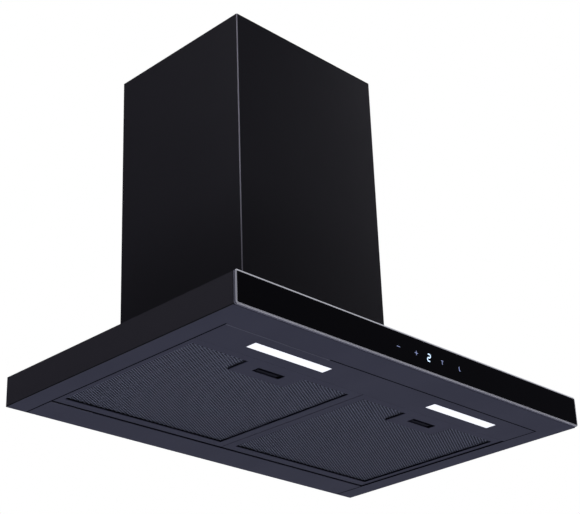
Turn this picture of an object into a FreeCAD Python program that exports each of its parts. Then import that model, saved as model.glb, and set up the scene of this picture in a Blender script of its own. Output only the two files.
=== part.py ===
import FreeCAD, Part

import math
import os

# A wall-mounted chimney range hood with a slim glass-fronted canopy, in millimetres.
# The frame: +X to the right, +Y to the wall, +Z up. The origin is on the wall plane, at the
# centre of the canopy's lower rear edge, so the front of the hood is at negative Y.

# Canopy
canopy_width = 750.0
canopy_depth = 500.0
canopy_height = 47.0
canopy_sheet = 1.0
side_flange = 36.0
front_flange = 58.0
rear_flange = 60.0
flange_lip = 7.0
bead_height = 4.0
seam_gap = 1.0
rear_wall_return = 12.0

# Front glass and its bonding pads
glass_thickness = 5.0
glass_corner = 4.0
glass_chamfer = 0.9
bond_thickness = 1.0
bond_height = 6.0
bond_margin = 14.0
bond_inset = 8.0

# Touch controls, behind the glass
controls_x = 8.0
controls_z = 24.0
key_offsets = (-67.0, -28.0, 30.0, 70.0)
control_window_width = 164.0
control_window_height = 21.0
key_foam = 9.0
display_width = 12.7
display_height = 19.0
board_thickness = 1.6
control_gap = 5.0
housing_margin = 6.0
housing_depth = 12.0
housing_wall = 1.2

# Lamp panel and its two lamps
lamp_panel_depth = 65.0
lamp_panel_lip = 9.0
keeper_lip = 4.5
lamp_spacing = 377.0
lamp_length = 150.0
lamp_width = 19.0
lamp_front_offset = 80.0
lens_clearance = 0.2
lens_flange = 2.0
lens_flange_thickness = 1.2
lamp_tray_wall = 1.0
lamp_tray_height = 13.0
lamp_tray_ear = 11.0
led_board_thickness = 1.2
led_end_margin = 2.0
led_side_margin = 3.0
led_count = 9
led_pitch = 16.0
led_size = 3.5
led_height = 0.7
stud_radius = 1.5
stud_height = 6.0
nut_height = 2.4
nut_flats = 5.5

# Grease filters
filter_recess = 1.0
filter_thickness = 9.0
filter_centre_border = 15.5
filter_outer_border = 10.0
filter_front_border = 14.0
filter_rear_border = 16.0
filter_rim = 3.0
filter_skin = 0.6
filter_gap = 1.5
filter_front_gap = 1.0
filter_rear_gap = 3.5
filter_groove = 5.0
groove_clearance = 0.2
mesh_thickness = 1.0
bead_radius = 1.5
hook_clearance = 0.3
hook_thickness = 1.2
hook_length = 30.0
hook_inset = 60.0

# Filter latches
latch_offset = 168.0
latch_pad_width = 110.0
latch_pad_depth = 42.0
latch_pad_wall = 1.0
latch_pad_edge = 0.8
latch_slot_width = 53.0
latch_slot_depth = 15.0
latch_slot_inset = 8.0
latch_plate = 1.4
latch_clearance = 0.5
latch_tongue_width = 40.0
latch_tab_margin = 6.0
latch_arm = 5.0
latch_bar = 4.0
finger_gap = 8.0
latch_rear_room = 9.0
tongue_clearance = 0.1
spring_radius = 1.9
spring_wire = 0.35
spring_turns = 6

# Chimney
chimney_width = 322.0
chimney_depth = 290.0
chimney_height = 606.0
chimney_sheet = 0.8
chimney_bend = 2.0
chimney_return = 15.0
chimney_flange = 11.0
telescope_gap = 1.5
upper_chimney_drop = 2.0
vent_count = 6
vent_length = 60.0
vent_height = 4.0
vent_pitch = 9.0
vent_from_top = 30.0

# Wall bracket of the upper chimney
bracket_height = 30.0
bracket_from_top = 12.0
bracket_sheet = 1.5
bracket_plate_width = 280.0
bracket_step = 8.0
bracket_arm = 40.0
bracket_hole_radius = 3.0
bracket_hole_inset = 25.0

# Blower box
box_width = 280.0
box_depth = 265.0
box_height = 300.0
box_sheet = 1.0
box_flange = 8.0
box_return = 12.0
hanging_sheet = 1.5
hanging_height = 372.0
hanging_hole_radius = 4.0
hanging_hole_spacing = 200.0
hanging_hole_from_top = 24.0
lid_lip = 10.0
lid_clearance = 0.2
air_opening_margin = 15.0
air_opening_depth = 240.0
air_opening_rear = 20.0

# Outlet collar and its two flaps
duct_radius = 75.0
collar_wall = 1.5
collar_height = 50.0
collar_flange_radius = 95.0
collar_flange_thickness = 1.5
collar_centre_y = -143.0
flap_clearance = 1.0
flap_thickness = 1.5
flap_axis_height = 15.0
flap_edge = 4.0
flap_stop_width = 3.5
flap_stop_height = 2.0
flap_stop_gap = 0.1
spindle_radius = 1.5
knuckle_radius = 3.0
running_clearance = 0.05
knuckle_length = 24.0
front_knuckles = (-59.0, 5.0)
rear_knuckles = (-29.0, 35.0)

# Blower
fan_centre_y = -100.0
fan_centre_z = 160.0
scroll_start_radius = 88.0
scroll_growth = 22.0
scroll_half_width = 72.0
scroll_wall = 1.2
scroll_tongue_angle = 100.0
scroll_steps = 14
scroll_neck_rear_y = -76.0
inlet_radius = 66.0
wheel_radius = 80.0
wheel_inner_radius = 68.0
wheel_half_width = 65.0
wheel_disc = 2.0
wheel_ring = 2.5
blade_count = 36
blade_thickness = 1.0
blade_margin = 0.5
blade_pitch_angle = 18.0
hub_radius = 14.0
hub_flange_radius = 22.0
hub_length = 12.0
hub_plate = 2.0
shaft_radius = 4.0
motor_radius = 42.0
motor_inner_x = -14.0
motor_outer_x = -62.0
motor_cap = 5.0
motor_bore = 23.0
rotor_radius = 22.0
rotor_end_gap = 2.0
shaft_stub = 1.0
bush_radius = 9.0
bush_clearance = 0.05
motor_bracket_sheet = 2.0
motor_bracket_reach = 82.0
motor_bracket_hub = 26.0
motor_bracket_arm = 12.0
capacitor_radius = 15.0
capacitor_height = 50.0
capacitor_foot = 8.0
capacitor_y = -60.0
capacitor_height_on_box = 40.0
capacitor_foot_half = 6.0
capacitor_foot_low = 10.0
capacitor_foot_high = 40.0

# Power box, gland and leads
power_width = 120.0
power_depth = 40.0
power_height = 70.0
power_base_z = 80.0
power_wall = 1.5
power_lid = 2.0
gland_from_side = 35.0
gland_from_front = 30.0
gland_radius = 9.0
gland_nut_radius = 12.0
gland_bore = 4.0
gland_below = 12.0
gland_above = 14.0
gland_nut_under = 4.0
gland_nut_over = 6.0
lead_radius = 2.0
control_lead_offset = 40.0
control_lead_rise = 4.0
control_lead_shift = 31.0
control_lead_run = ((0, 40, 0), (-9, 95, 5), (-15, 155, 3))
control_lead_end = ((3, -10, -43), (0, 0, -20))
lamp_lead_entries = ((-1, -30.0), (1, 50.0))
lamp_lead_run = ((0, 0, 16), (-14, 30, 21), (-60, 70, 19), (-110, 105, 21))
lamp_lead_end = ((0, -10, -42), (0, 0, -18))
motor_lead_start = (-18.0, 2.0)
motor_lead_drop = 32.0
motor_lead_run = ((-15, 0, 0), (-28, -28, -14), (-30, -74, -36))
motor_lead_end = ((-30, -2, 4), (-12, 0, 0))

# Fasteners
screw_radius = 2.0
screw_head_radius = 3.5
screw_head_height = 2.2
screw_grip = 4.0
small_screw_radius = 1.5
small_head_radius = 2.8
small_head_height = 1.6
recess_radius_share = 0.35
recess_depth_share = 0.6
box_screw_inset = 35.0
chimney_screw_inset = 60.0
panel_screw_xs = (60.0, 300.0)
bracket_screw_steps = (12.0, 30.0)
plate_screw_shares = (0.12, 0.5, 0.88)
lid_screw_shares = (0.2, 0.8)

# Places worked out from the sizes above
half_width = canopy_width / 2
glass_y = -canopy_depth
bond_y = glass_y + glass_thickness
wall_y = bond_y + bond_thickness
opening_x = half_width - side_flange
lamp_front_y = glass_y + front_flange
lamp_rear_y = lamp_front_y + lamp_panel_depth
opening_rear_y = -rear_flange
canopy_top = canopy_height
canopy_under = canopy_height - canopy_sheet

filter_front_y = lamp_rear_y + filter_front_gap
filter_rear_y = opening_rear_y - filter_rear_gap
filter_inner_x = filter_gap / 2
filter_outer_x = opening_x - filter_gap
filter_top = filter_recess + filter_thickness
bead_y = opening_rear_y + canopy_sheet / 2
mesh_bottom = filter_recess + filter_rim
mesh_top = filter_top - filter_skin

chimney_top = canopy_top + chimney_height
upper_bottom = canopy_top + chimney_sheet
upper_top = chimney_top - upper_chimney_drop
upper_half = chimney_width / 2 - chimney_sheet - telescope_gap
upper_front_y = -chimney_depth + chimney_sheet + telescope_gap
upper_rear_y = -chimney_sheet - telescope_gap

box_half = box_width / 2
air_half = box_half - air_opening_margin
gland_x = box_half - gland_from_side
gland_y = -box_depth + gland_from_front
box_top = canopy_top + box_height
lid_top = box_top + box_sheet
collar_base = lid_top
flap_axis_z = collar_base + flap_axis_height
flap_radius = duct_radius - collar_wall - flap_clearance

UP = FreeCAD.Vector(0, 0, 1)
RIGHT = FreeCAD.Vector(1, 0, 0)
REAR = FreeCAD.Vector(0, 1, 0)


def point(x, y, z):
    return FreeCAD.Vector(x, y, z)


def box(x0, x1, y0, y1, z0, z1):
    return Part.makeBox(x1 - x0, y1 - y0, z1 - z0, point(x0, y0, z0))


def cylinder(radius, length, base, axis):
    return Part.makeCylinder(radius, length, base, axis)


def tube(outer, inner, length, base, axis):
    return cylinder(outer, length, base, axis).cut(cylinder(inner, length, base, axis))


def fuse(first, *others):
    return first.multiFuse(list(others)).removeSplitter()


def mirrored(shape):
    return shape.mirror(point(0, 0, 0), RIGHT)


def group(shapes):
    return Part.makeCompound(shapes)


def prism(corners, direction):
    """A straight prism on a closed outline of points."""
    outline = Part.makePolygon(corners + corners[:1])
    return Part.Face(outline).extrude(direction)


def rounded_plan(x0, x1, y0, y1, radius, z0, z1):
    """A block whose two front vertical edges are rounded."""
    block = box(x0, x1, y0, y1, z0, z1)
    front = [
        edge
        for edge in block.Edges
        if abs(edge.tangentAt(edge.FirstParameter).z) > 0.9 and abs(edge.CenterOfMass.y - y0) < 0.01
    ]
    return block.makeFillet(radius, front)


def screw(
    head, axis, grip, radius=screw_radius, head_radius=screw_head_radius, head_height=screw_head_height
):
    """A pan-head screw. The head's seat is at `head`, and the shank runs along `axis` for `grip`."""
    shank = cylinder(radius, grip, head, axis)
    cap = cylinder(head_radius, head_height, head - axis * head_height, axis)
    recess_radius = head_radius * recess_radius_share
    recess_depth = head_height * recess_depth_share
    recess = cylinder(recess_radius, recess_depth, head - axis * head_height, axis)
    return fuse(shank, cap).cut(recess)


def hexagon(flats, height, centre):
    reach = flats / math.sqrt(3)
    corners = [
        centre + point(reach * math.cos(math.radians(60 * i)), reach * math.sin(math.radians(60 * i)), 0)
        for i in range(6)
    ]
    return prism(corners, UP * height)


# ---------------------------------------------------------------- canopy

box_screw_x = box_half + box_flange / 2
box_screw_ys = (-box_depth + box_screw_inset, -box_depth / 2, -box_screw_inset)
chimney_screw_x = chimney_width / 2 - chimney_flange + screw_head_radius
chimney_screw_ys = (-chimney_depth + chimney_screw_inset, -chimney_depth / 3)
panel_screw_z = lamp_panel_lip / 2


def blower_flange_screws():
    seats = [point(side * box_screw_x, y, canopy_under) for side in (-1, 1) for y in box_screw_ys]
    return [screw(seat, UP, canopy_sheet + box_sheet + screw_grip) for seat in seats]


def chimney_seats():
    return [point(side * chimney_screw_x, y, canopy_under) for side in (-1, 1) for y in chimney_screw_ys]


def panel_seats():
    seat_y = lamp_front_y + seam_gap + canopy_sheet
    return [point(side * x, seat_y, panel_screw_z) for side in (-1, 1) for x in panel_screw_xs]


def control_window():
    half_long = control_window_width / 2
    half_tall = control_window_height / 2
    return (
        controls_x - half_long,
        controls_x + half_long,
        controls_z - half_tall,
        controls_z + half_tall,
    )


def canopy_shell():
    """The folded pan: top, sides and front wall, with flanges under the sides and the front."""
    inside = half_width - canopy_sheet
    pan = box(-half_width, half_width, wall_y, 0, 0, canopy_top)
    pan = pan.cut(box(-inside, inside, wall_y + canopy_sheet, 1, canopy_sheet, canopy_under))
    pan = pan.cut(box(-opening_x, opening_x, lamp_front_y, 1, -1, canopy_sheet + 1))
    lip_y = lamp_front_y - canopy_sheet
    side_lip = box(opening_x, opening_x + canopy_sheet, lip_y, opening_rear_y, 0, flange_lip)
    front_lip = box(-opening_x, opening_x, lip_y, lamp_front_y, 0, flange_lip)
    pan = fuse(pan, side_lip, mirrored(side_lip), front_lip)
    air_front = -air_opening_rear - air_opening_depth
    pan = pan.cut(box(-air_half, air_half, air_front, -air_opening_rear, canopy_under - 1, canopy_top + 1))
    x0, x1, z0, z1 = control_window()
    pan = pan.cut(box(x0, x1, wall_y - 1, wall_y + canopy_sheet + 1, z0, z1))
    through = canopy_sheet + 2
    for seat in [point(side * box_screw_x, y, 0) for side in (-1, 1) for y in box_screw_ys] + chimney_seats():
        pan = pan.cut(cylinder(screw_radius, through, point(seat.x, seat.y, canopy_under - 1), UP))
    for seat in panel_seats():
        start = point(seat.x, lamp_front_y - canopy_sheet - 1, seat.z)
        pan = pan.cut(cylinder(small_screw_radius, through, start, REAR))
    return pan


def rear_panel():
    """The rear flange and wall in one folded piece, with a rolled bead that the filters hang on."""
    width = opening_x - seam_gap
    inside = half_width - canopy_sheet - seam_gap
    flange = box(-width, width, opening_rear_y, 0, 0, canopy_sheet)
    lip = box(-width, width, opening_rear_y, opening_rear_y + canopy_sheet, 0, bead_height)
    bead = cylinder(bead_radius, 2 * width, point(-width, bead_y, bead_height), RIGHT)
    wall = box(-inside, inside, -canopy_sheet, 0, canopy_sheet, canopy_under)
    side_foot = box(-inside, inside, -rear_wall_return, 0, canopy_sheet, 2 * canopy_sheet)
    top_return = box(-inside, inside, -rear_wall_return, 0, canopy_under - canopy_sheet, canopy_under)
    return fuse(flange, lip, bead, wall, side_foot, top_return)


def lamp_place():
    """The front and rear Y of a lamp, and the X of its inner and outer end on the right side."""
    y0 = glass_y + lamp_front_offset
    x0 = (lamp_spacing - lamp_length) / 2
    return x0, x0 + lamp_length, y0, y0 + lamp_width


def stud_places():
    x0, x1, y0, y1 = lamp_place()
    reach = lens_flange + lens_clearance + lamp_tray_wall + lamp_tray_ear / 2
    return [(x, (y0 + y1) / 2) for x in (x0 - reach, x1 + reach)]


def lamp_panel():
    width = opening_x - seam_gap
    y0 = lamp_front_y + seam_gap
    y1 = lamp_rear_y - seam_gap
    plate = box(-width, width, y0, y1, 0, canopy_sheet)
    front_lip = box(-width, width, y0, y0 + canopy_sheet, 0, lamp_panel_lip)
    rear_lip = box(-width, width, y1 - canopy_sheet, y1, 0, keeper_lip)
    end_lip = box(width - canopy_sheet, width, y0, y1, 0, flange_lip)
    panel = fuse(plate, front_lip, rear_lip, end_lip, mirrored(end_lip))
    for seat in panel_seats():
        start = point(seat.x, y0 - 1, seat.z)
        panel = panel.cut(cylinder(small_screw_radius, canopy_sheet + 2, start, REAR))
    lx0, lx1, ly0, ly1 = lamp_place()
    window = box(lx0, lx1, ly0, ly1, -1, canopy_sheet + 1)
    panel = panel.cut(window).cut(mirrored(window))
    studs = [cylinder(stud_radius, stud_height, point(x, y, canopy_sheet), UP) for x, y in stud_places()]
    return fuse(panel, *studs, *[mirrored(stud) for stud in studs])


def lamp_panel_screws():
    grip = 2 * canopy_sheet + seam_gap + screw_grip
    front = point(0, -1, 0)
    return group(
        [
            screw(seat, front, grip, small_screw_radius, small_head_radius, small_head_height)
            for seat in panel_seats()
        ]
    )


def lamp_lens():
    x0, x1, y0, y1 = lamp_place()
    gap = lens_clearance
    face = box(x0 + gap, x1 - gap, y0 + gap, y1 - gap, 0, canopy_sheet)
    over = lens_flange
    top = canopy_sheet + lens_flange_thickness
    flange = box(x0 - over, x1 + over, y0 - over, y1 + over, canopy_sheet, top)
    return fuse(face, flange)


def lamp_tray():
    """A lid-like tray over the lens, with an ear at each end that a stud passes through."""
    x0, x1, y0, y1 = lamp_place()
    inner = lens_flange + lens_clearance
    outer = inner + lamp_tray_wall
    top = canopy_sheet + lamp_tray_height
    tray = box(x0 - outer, x1 + outer, y0 - outer, y1 + outer, canopy_sheet, top)
    tray = tray.cut(box(x0 - inner, x1 + inner, y0 - inner, y1 + inner, 0, top - lamp_tray_wall))
    ear_top = canopy_sheet + lamp_tray_wall
    ears = box(
        x0 - outer - lamp_tray_ear, x1 + outer + lamp_tray_ear, y0, y1, canopy_sheet, ear_top
    ).cut(box(x0 - inner, x1 + inner, y0, y1, 0, ear_top))
    tray = fuse(tray, ears)
    for x, y in stud_places():
        tray = tray.cut(cylinder(stud_radius, stud_height, point(x, y, canopy_sheet), UP))
    return tray


def lamp_tray_nuts():
    base = canopy_sheet + lamp_tray_wall
    nuts = []
    for x, y in stud_places():
        nut = hexagon(nut_flats, nut_height, point(x, y, base))
        nuts.append(nut.cut(cylinder(stud_radius, nut_height, point(x, y, base), UP)))
    return group(nuts + [mirrored(nut) for nut in nuts])


def led_strip():
    x0, x1, y0, y1 = lamp_place()
    top = canopy_sheet + lamp_tray_height - lamp_tray_wall
    under = top - led_board_thickness
    ends = led_end_margin
    sides = led_side_margin
    board = box(x0 + ends, x1 - ends, y0 + sides, y1 - sides, under, top)
    middle_x = (x0 + x1) / 2
    middle_y = (y0 + y1) / 2
    half = led_size / 2
    chips = []
    for i in range(led_count):
        x = middle_x + (i - (led_count - 1) / 2) * led_pitch
        chips.append(box(x - half, x + half, middle_y - half, middle_y + half, under - led_height, under))
    return fuse(board, *chips)


# ---------------------------------------------------------------- front glass and controls


def front_glass():
    pane = box(-half_width, half_width, glass_y, bond_y, 0, canopy_top)
    corners = [edge for edge in pane.Edges if abs(edge.Length - glass_thickness) < 0.01]
    pane = pane.makeFillet(glass_corner, corners)
    rims = [
        edge
        for edge in pane.Edges
        if abs(edge.BoundBox.YLength) < 0.01
    ]
    return pane.makeChamfer(glass_chamfer, rims)


def glass_pads():
    x0, x1, _, _ = control_window()
    edge = half_width - bond_margin
    strips = []
    for z in (bond_inset, canopy_height - bond_inset - bond_height):
        strips.append(box(-edge, x0 - bond_margin, bond_y, wall_y, z, z + bond_height))
        strips.append(box(x1 + bond_margin, edge, bond_y, wall_y, z, z + bond_height))
    return group(strips)


def control_housing():
    x0, x1, z0, z1 = control_window()
    back = wall_y + canopy_sheet
    m = housing_margin
    w = housing_wall
    housing = box(x0 - m, x1 + m, back, back + housing_depth, z0 - m, z1 + m)
    x0, x1, z0, z1 = x0 - m + w, x1 + m - w, z0 - m + w, z1 + m - w
    return housing.cut(box(x0, x1, back - 1, back + housing_depth - w, z0, z1))


def touch_board():
    x0, x1, z0, z1 = control_window()
    m = housing_margin - housing_wall
    y0 = bond_y + control_gap
    return box(x0 - m, x1 + m, y0, y0 + board_thickness, z0 - m, z1 + m)


def touch_pads():
    half = key_foam / 2
    pads = []
    for offset in key_offsets:
        x = controls_x + offset
        low_z, high_z = controls_z - half, controls_z + half
        pads.append(box(x - half, x + half, bond_y, bond_y + control_gap, low_z, high_z))
    return group(pads)


def digit_display():
    half_wide = display_width / 2
    half_tall = display_height / 2
    return box(
        controls_x - half_wide,
        controls_x + half_wide,
        bond_y,
        bond_y + control_gap,
        controls_z - half_tall,
        controls_z + half_tall,
    )


# ---------------------------------------------------------------- filters and latches


def filter_limits():
    return filter_inner_x, filter_outer_x, filter_front_y, filter_rear_y


def filter_window(reach):
    """The limits of the frame's window, widened by `reach` on every side."""
    x0, x1, y0, y1 = filter_limits()
    return (
        x0 + filter_centre_border - reach,
        x1 - filter_outer_border + reach,
        y0 + filter_front_border - reach,
        y1 - filter_rear_border + reach,
    )


def filter_frame():
    """The right filter's frame: a border round a window, grooved for the mesh, with two rear hooks."""
    frame = box(*filter_limits(), filter_recess, filter_top)
    frame = frame.cut(box(*filter_window(0), filter_recess - 1, filter_top + 1))
    frame = frame.cut(box(*filter_window(filter_groove), mesh_bottom, mesh_top))
    frame = frame.cut(latch_port())
    hooks = [
        filter_hook(filter_inner_x + hook_inset),
        filter_hook(filter_outer_x - hook_inset - hook_length),
    ]
    return fuse(frame, *hooks)


def filter_hook(x):
    """Half a ring that wraps over the rear panel's bead, on a tongue from the frame."""
    inner = bead_radius + hook_clearance
    outer = inner + hook_thickness
    centre = point(x, bead_y, bead_height)
    end = x + hook_length
    ring = tube(outer, inner, hook_length, centre, RIGHT)
    ring = ring.cut(box(x - 1, end + 1, bead_y - outer - 1, bead_y + outer + 1, 0, bead_height))
    tongue_high = bead_height + hook_thickness
    tongue = box(x, end, filter_rear_y, bead_y - inner, bead_height, tongue_high)
    tongue = tongue.cut(cylinder(inner, hook_length, centre, RIGHT))
    return fuse(ring, tongue)


def filter_layer(z0, z1):
    """A sheet that fills the frame's groove between two heights."""
    return box(*filter_window(filter_groove - groove_clearance), z0, z1)


def latch_room():
    """The space in the filter that the latch takes up, from the front of the frame to the pad's rear."""
    x0, x1, _, y1 = latch_pad_limits()
    return box(x0, x1, filter_front_y, y1, filter_recess, mesh_top - mesh_thickness)


def filter_mesh():
    lower = filter_layer(mesh_bottom, mesh_bottom + mesh_thickness).cut(latch_room())
    upper = filter_layer(mesh_top - mesh_thickness, mesh_top)
    return group([lower, upper])


def filter_core():
    core = filter_layer(mesh_bottom + mesh_thickness, mesh_top - mesh_thickness)
    return core.cut(latch_room())


def latch_pad_limits():
    half = latch_pad_width / 2
    y0 = filter_front_y + filter_front_border
    return latch_offset - half, latch_offset + half, y0, y0 + latch_pad_depth


def slot_limits():
    half = latch_slot_width / 2
    _, _, pad_y0, _ = latch_pad_limits()
    y0 = pad_y0 + latch_slot_inset
    return latch_offset - half, latch_offset + half, y0, y0 + latch_slot_depth


tongue_bottom = keeper_lip + latch_clearance
tongue_top = tongue_bottom + latch_plate


def latch_port():
    """The way for the tongue through the frame's front border and the pad's front wall."""
    half = latch_tongue_width / 2 + latch_clearance
    _, _, pad_y0, _ = latch_pad_limits()
    return box(
        latch_offset - half,
        latch_offset + half,
        filter_front_y - 1,
        pad_y0 + latch_pad_wall + 1,
        tongue_bottom - latch_clearance,
        tongue_top + latch_clearance,
    )


def latch_pad():
    """The latch's case: a shallow tray, level with the frame's underside, with the finger slot."""
    x0, x1, y0, y1 = latch_pad_limits()
    z0, z1 = filter_recess, mesh_top - mesh_thickness
    w = latch_pad_wall
    pad = box(x0, x1, y0, y1, z0, z1)
    free = [
        edge
        for edge in pad.Edges
        if abs(edge.CenterOfMass.z - z0) < 0.01 and edge.CenterOfMass.y > y0 + 0.01
    ]
    pad = pad.makeFillet(latch_pad_edge, free)
    pad = pad.cut(box(x0 + w, x1 - w, y0 + w, y1 - w, z0 + w, z1 + 1))
    pad = pad.cut(box(*slot_limits(), z0 - 1, z0 + w + 1))
    return pad.cut(latch_port())


def latch_slider():
    """A sprung plate: a tongue at the front, an opening over the finger gap, and a lowered tab."""
    _, _, slot_y0, _ = slot_limits()
    _, _, pad_y0, pad_y1 = latch_pad_limits()
    wall = latch_pad_wall
    slot_half = latch_slot_width / 2
    plate_half = slot_half + latch_arm
    tongue_half = latch_tongue_width / 2
    tab_half = slot_half - latch_tab_margin
    web_y = slot_y0 + finger_gap
    tab_bottom = filter_recess + wall + latch_clearance
    front_y = pad_y0 + wall + latch_clearance
    rear_y = pad_y1 - wall - latch_rear_room
    tongue_y = lamp_rear_y - seam_gap + tongue_clearance
    middle = latch_offset
    tongue = box(middle - tongue_half, middle + tongue_half, tongue_y, front_y, tongue_bottom, tongue_top)
    plate = box(middle - plate_half, middle + plate_half, front_y, rear_y, tongue_bottom, tongue_top)
    plate = plate.cut(
        box(middle - slot_half, middle + slot_half, front_y + latch_bar, web_y, tongue_bottom, tongue_top)
    )
    left, right = middle - tab_half, middle + tab_half
    web = box(left, right, web_y, web_y + latch_plate, tab_bottom, tongue_top)
    tab = box(left, right, web_y, rear_y, tab_bottom, tab_bottom + latch_plate)
    rear = box(left, right, rear_y - latch_plate, rear_y, tab_bottom, tongue_top)
    return fuse(tongue, plate, web, tab, rear)


def latch_spring():
    _, _, _, pad_y1 = latch_pad_limits()
    rear_y = pad_y1 - latch_pad_wall
    front_y = rear_y - latch_rear_room
    height = latch_rear_room - 2 * spring_wire
    middle_z = (filter_recess + latch_pad_wall + mesh_top - mesh_thickness) / 2
    mean = spring_radius - spring_wire
    helix = Part.makeHelix(height / spring_turns, height, mean)
    section = Part.Wire([Part.makeCircle(spring_wire, point(mean, 0, 0), REAR)])
    coil = Part.Wire(helix.Edges).makePipeShell([section], True, True)
    coil.rotate(point(0, 0, 0), RIGHT, -90)
    coil.translate(point(latch_offset, front_y + spring_wire, middle_z))
    return coil


# ---------------------------------------------------------------- chimney


def u_cover(half, front_y, rear_y, z0, z1):
    """A sheet folded into a U, open to the rear, with a narrow return along each rear edge."""
    t = chimney_sheet
    outside = rounded_plan(-half, half, front_y, rear_y, chimney_bend, z0, z1)
    inside = rounded_plan(
        -half + t, half - t, front_y + t, rear_y - t, chimney_bend - t, z0 - 1, z1 + 1
    )
    gap = half - chimney_return
    return outside.cut(inside).cut(box(-gap, gap, rear_y - t - 1, rear_y + 1, z0 - 1, z1 + 1))


def lower_chimney():
    half = chimney_width / 2
    cover = u_cover(half, -chimney_depth, 0, canopy_top, chimney_top)
    top = canopy_top + chimney_sheet
    t = chimney_sheet
    floor = box(-half + t, half - t, -chimney_depth + t, -t, canopy_top, top)
    inner = half - chimney_flange
    floor = floor.cut(box(-inner, inner, -chimney_depth + chimney_flange, 1, canopy_top - 1, top + 1))
    cover = fuse(cover, floor)
    for seat in chimney_seats():
        below = point(seat.x, seat.y, canopy_top - 1)
        cover = cover.cut(cylinder(screw_radius, 4 * chimney_sheet, below, UP))
    return cover


def chimney_screws():
    grip = canopy_sheet + chimney_sheet + screw_grip
    return group([screw(seat, UP, grip) for seat in chimney_seats()])


bracket_top = upper_top - bracket_from_top
bracket_bottom = bracket_top - bracket_height
bracket_half = upper_half - chimney_sheet
bracket_arm_y = -bracket_step - bracket_sheet


def bracket_screw_places():
    z = (bracket_top + bracket_bottom) / 2
    x = bracket_half - bracket_sheet
    return [point(x, bracket_arm_y - step, z) for step in bracket_screw_steps]


def upper_chimney():
    cover = u_cover(upper_half, upper_front_y, upper_rear_y, upper_bottom, upper_top)
    slots_y = (upper_front_y + upper_rear_y) / 2
    for i in range(vent_count):
        z = upper_top - vent_from_top - bracket_height - i * vent_pitch
        cover = cover.cut(
            box(
                -upper_half - 1,
                upper_half + 1,
                slots_y - vent_length / 2,
                slots_y + vent_length / 2,
                z - vent_height,
                z,
            )
        )
    for seat in bracket_screw_places():
        hole = cylinder(small_screw_radius, 4 * chimney_sheet, seat, RIGHT)
        cover = cover.cut(hole).cut(mirrored(hole))
    return cover


def chimney_bracket():
    """A hat-shaped strap: a plate on the wall, a step past the chimney's return, and two arms."""
    t = bracket_sheet
    z0, z1 = bracket_bottom, bracket_top
    plate_half = bracket_plate_width / 2
    plate = box(-plate_half, plate_half, -t, 0, z0, z1)
    step = box(plate_half - t, plate_half, bracket_arm_y, 0, z0, z1)
    bridge = box(plate_half - t, bracket_half, bracket_arm_y, bracket_arm_y + t, z0, z1)
    arm = box(bracket_half - t, bracket_half, bracket_arm_y - bracket_arm, bracket_arm_y + t, z0, z1)
    strap = fuse(plate, step, bridge, arm, mirrored(step), mirrored(bridge), mirrored(arm))
    for seat in bracket_screw_places():
        hole = cylinder(small_screw_radius, 3 * t, seat - RIGHT, RIGHT)
        strap = strap.cut(hole).cut(mirrored(hole))
    hole_z = (z0 + z1) / 2
    for side in (-1, 1):
        x = side * (plate_half - bracket_hole_inset)
        strap = strap.cut(cylinder(bracket_hole_radius, 3 * t, point(x, -2 * t, hole_z), REAR))
    return strap


def bracket_screws():
    grip = bracket_sheet + chimney_sheet
    screws = [
        screw(seat, RIGHT, grip, small_screw_radius, small_head_radius, small_head_height)
        for seat in bracket_screw_places()
    ]
    return group(screws + [mirrored(item) for item in screws])


# ---------------------------------------------------------------- blower box


def plate_seats():
    """Seats of the screws that hold the blower box to the hanging plate."""
    seat_y = -hanging_sheet - box_sheet
    x = box_half - box_return / 2
    heights = [canopy_top + box_height * share for share in plate_screw_shares]
    return [point(side * x, seat_y, z) for side in (-1, 1) for z in heights]


def lid_seats():
    """Seats of the screws that hold the lid to the sides of the blower box, on the right side."""
    x = box_half + lid_clearance + box_sheet
    z = box_top - lid_lip / 2
    return [point(x, -box_depth * share, z) for share in lid_screw_shares]


def motor_box():
    half = box_half
    t = box_sheet
    rear = -hanging_sheet
    sides = box(-half, half, -box_depth, rear, canopy_top, box_top)
    sides = sides.cut(box(-half + t, half - t, -box_depth + t, rear - t, canopy_top - 1, box_top + 1))
    mouth = half - box_return
    sides = sides.cut(box(-mouth, mouth, rear - t - 1, rear + 1, canopy_top - 1, box_top + 1))
    flange_half = half + box_flange
    flange_rear = upper_rear_y - chimney_sheet - telescope_gap
    flange = box(-flange_half, flange_half, -box_depth - box_flange, flange_rear, canopy_top, canopy_top + t)
    flange = flange.cut(box(-half, half, -box_depth, rear + 1, canopy_top - 1, canopy_top + t + 1))
    sides = fuse(sides, flange)
    for side in (-1, 1):
        for y in box_screw_ys:
            start = point(side * box_screw_x, y, canopy_top - 1)
            sides = sides.cut(cylinder(screw_radius, t + 2, start, UP))
    for seat in plate_seats():
        start = point(seat.x, seat.y - 1, seat.z)
        sides = sides.cut(cylinder(screw_radius, t + 2, start, REAR))
    for seat in lid_seats():
        hole = cylinder(screw_radius, 3 * t, point(half - 2 * t, seat.y, seat.z), RIGHT)
        sides = sides.cut(hole).cut(mirrored(hole))
    return sides


def hanging_plate():
    half = box_half - box_sheet
    top = canopy_top + hanging_height
    plate = box(-half, half, -hanging_sheet, 0, canopy_top, top)
    hole_z = top - hanging_hole_from_top
    for side in (-1, 1):
        x = side * hanging_hole_spacing / 2
        start = point(x, -2 * hanging_sheet, hole_z)
        plate = plate.cut(cylinder(hanging_hole_radius, 3 * hanging_sheet, start, REAR))
    for seat in plate_seats():
        start = point(seat.x, -2 * hanging_sheet, seat.z)
        plate = plate.cut(cylinder(screw_radius, 3 * hanging_sheet, start, REAR))
    return plate


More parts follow.
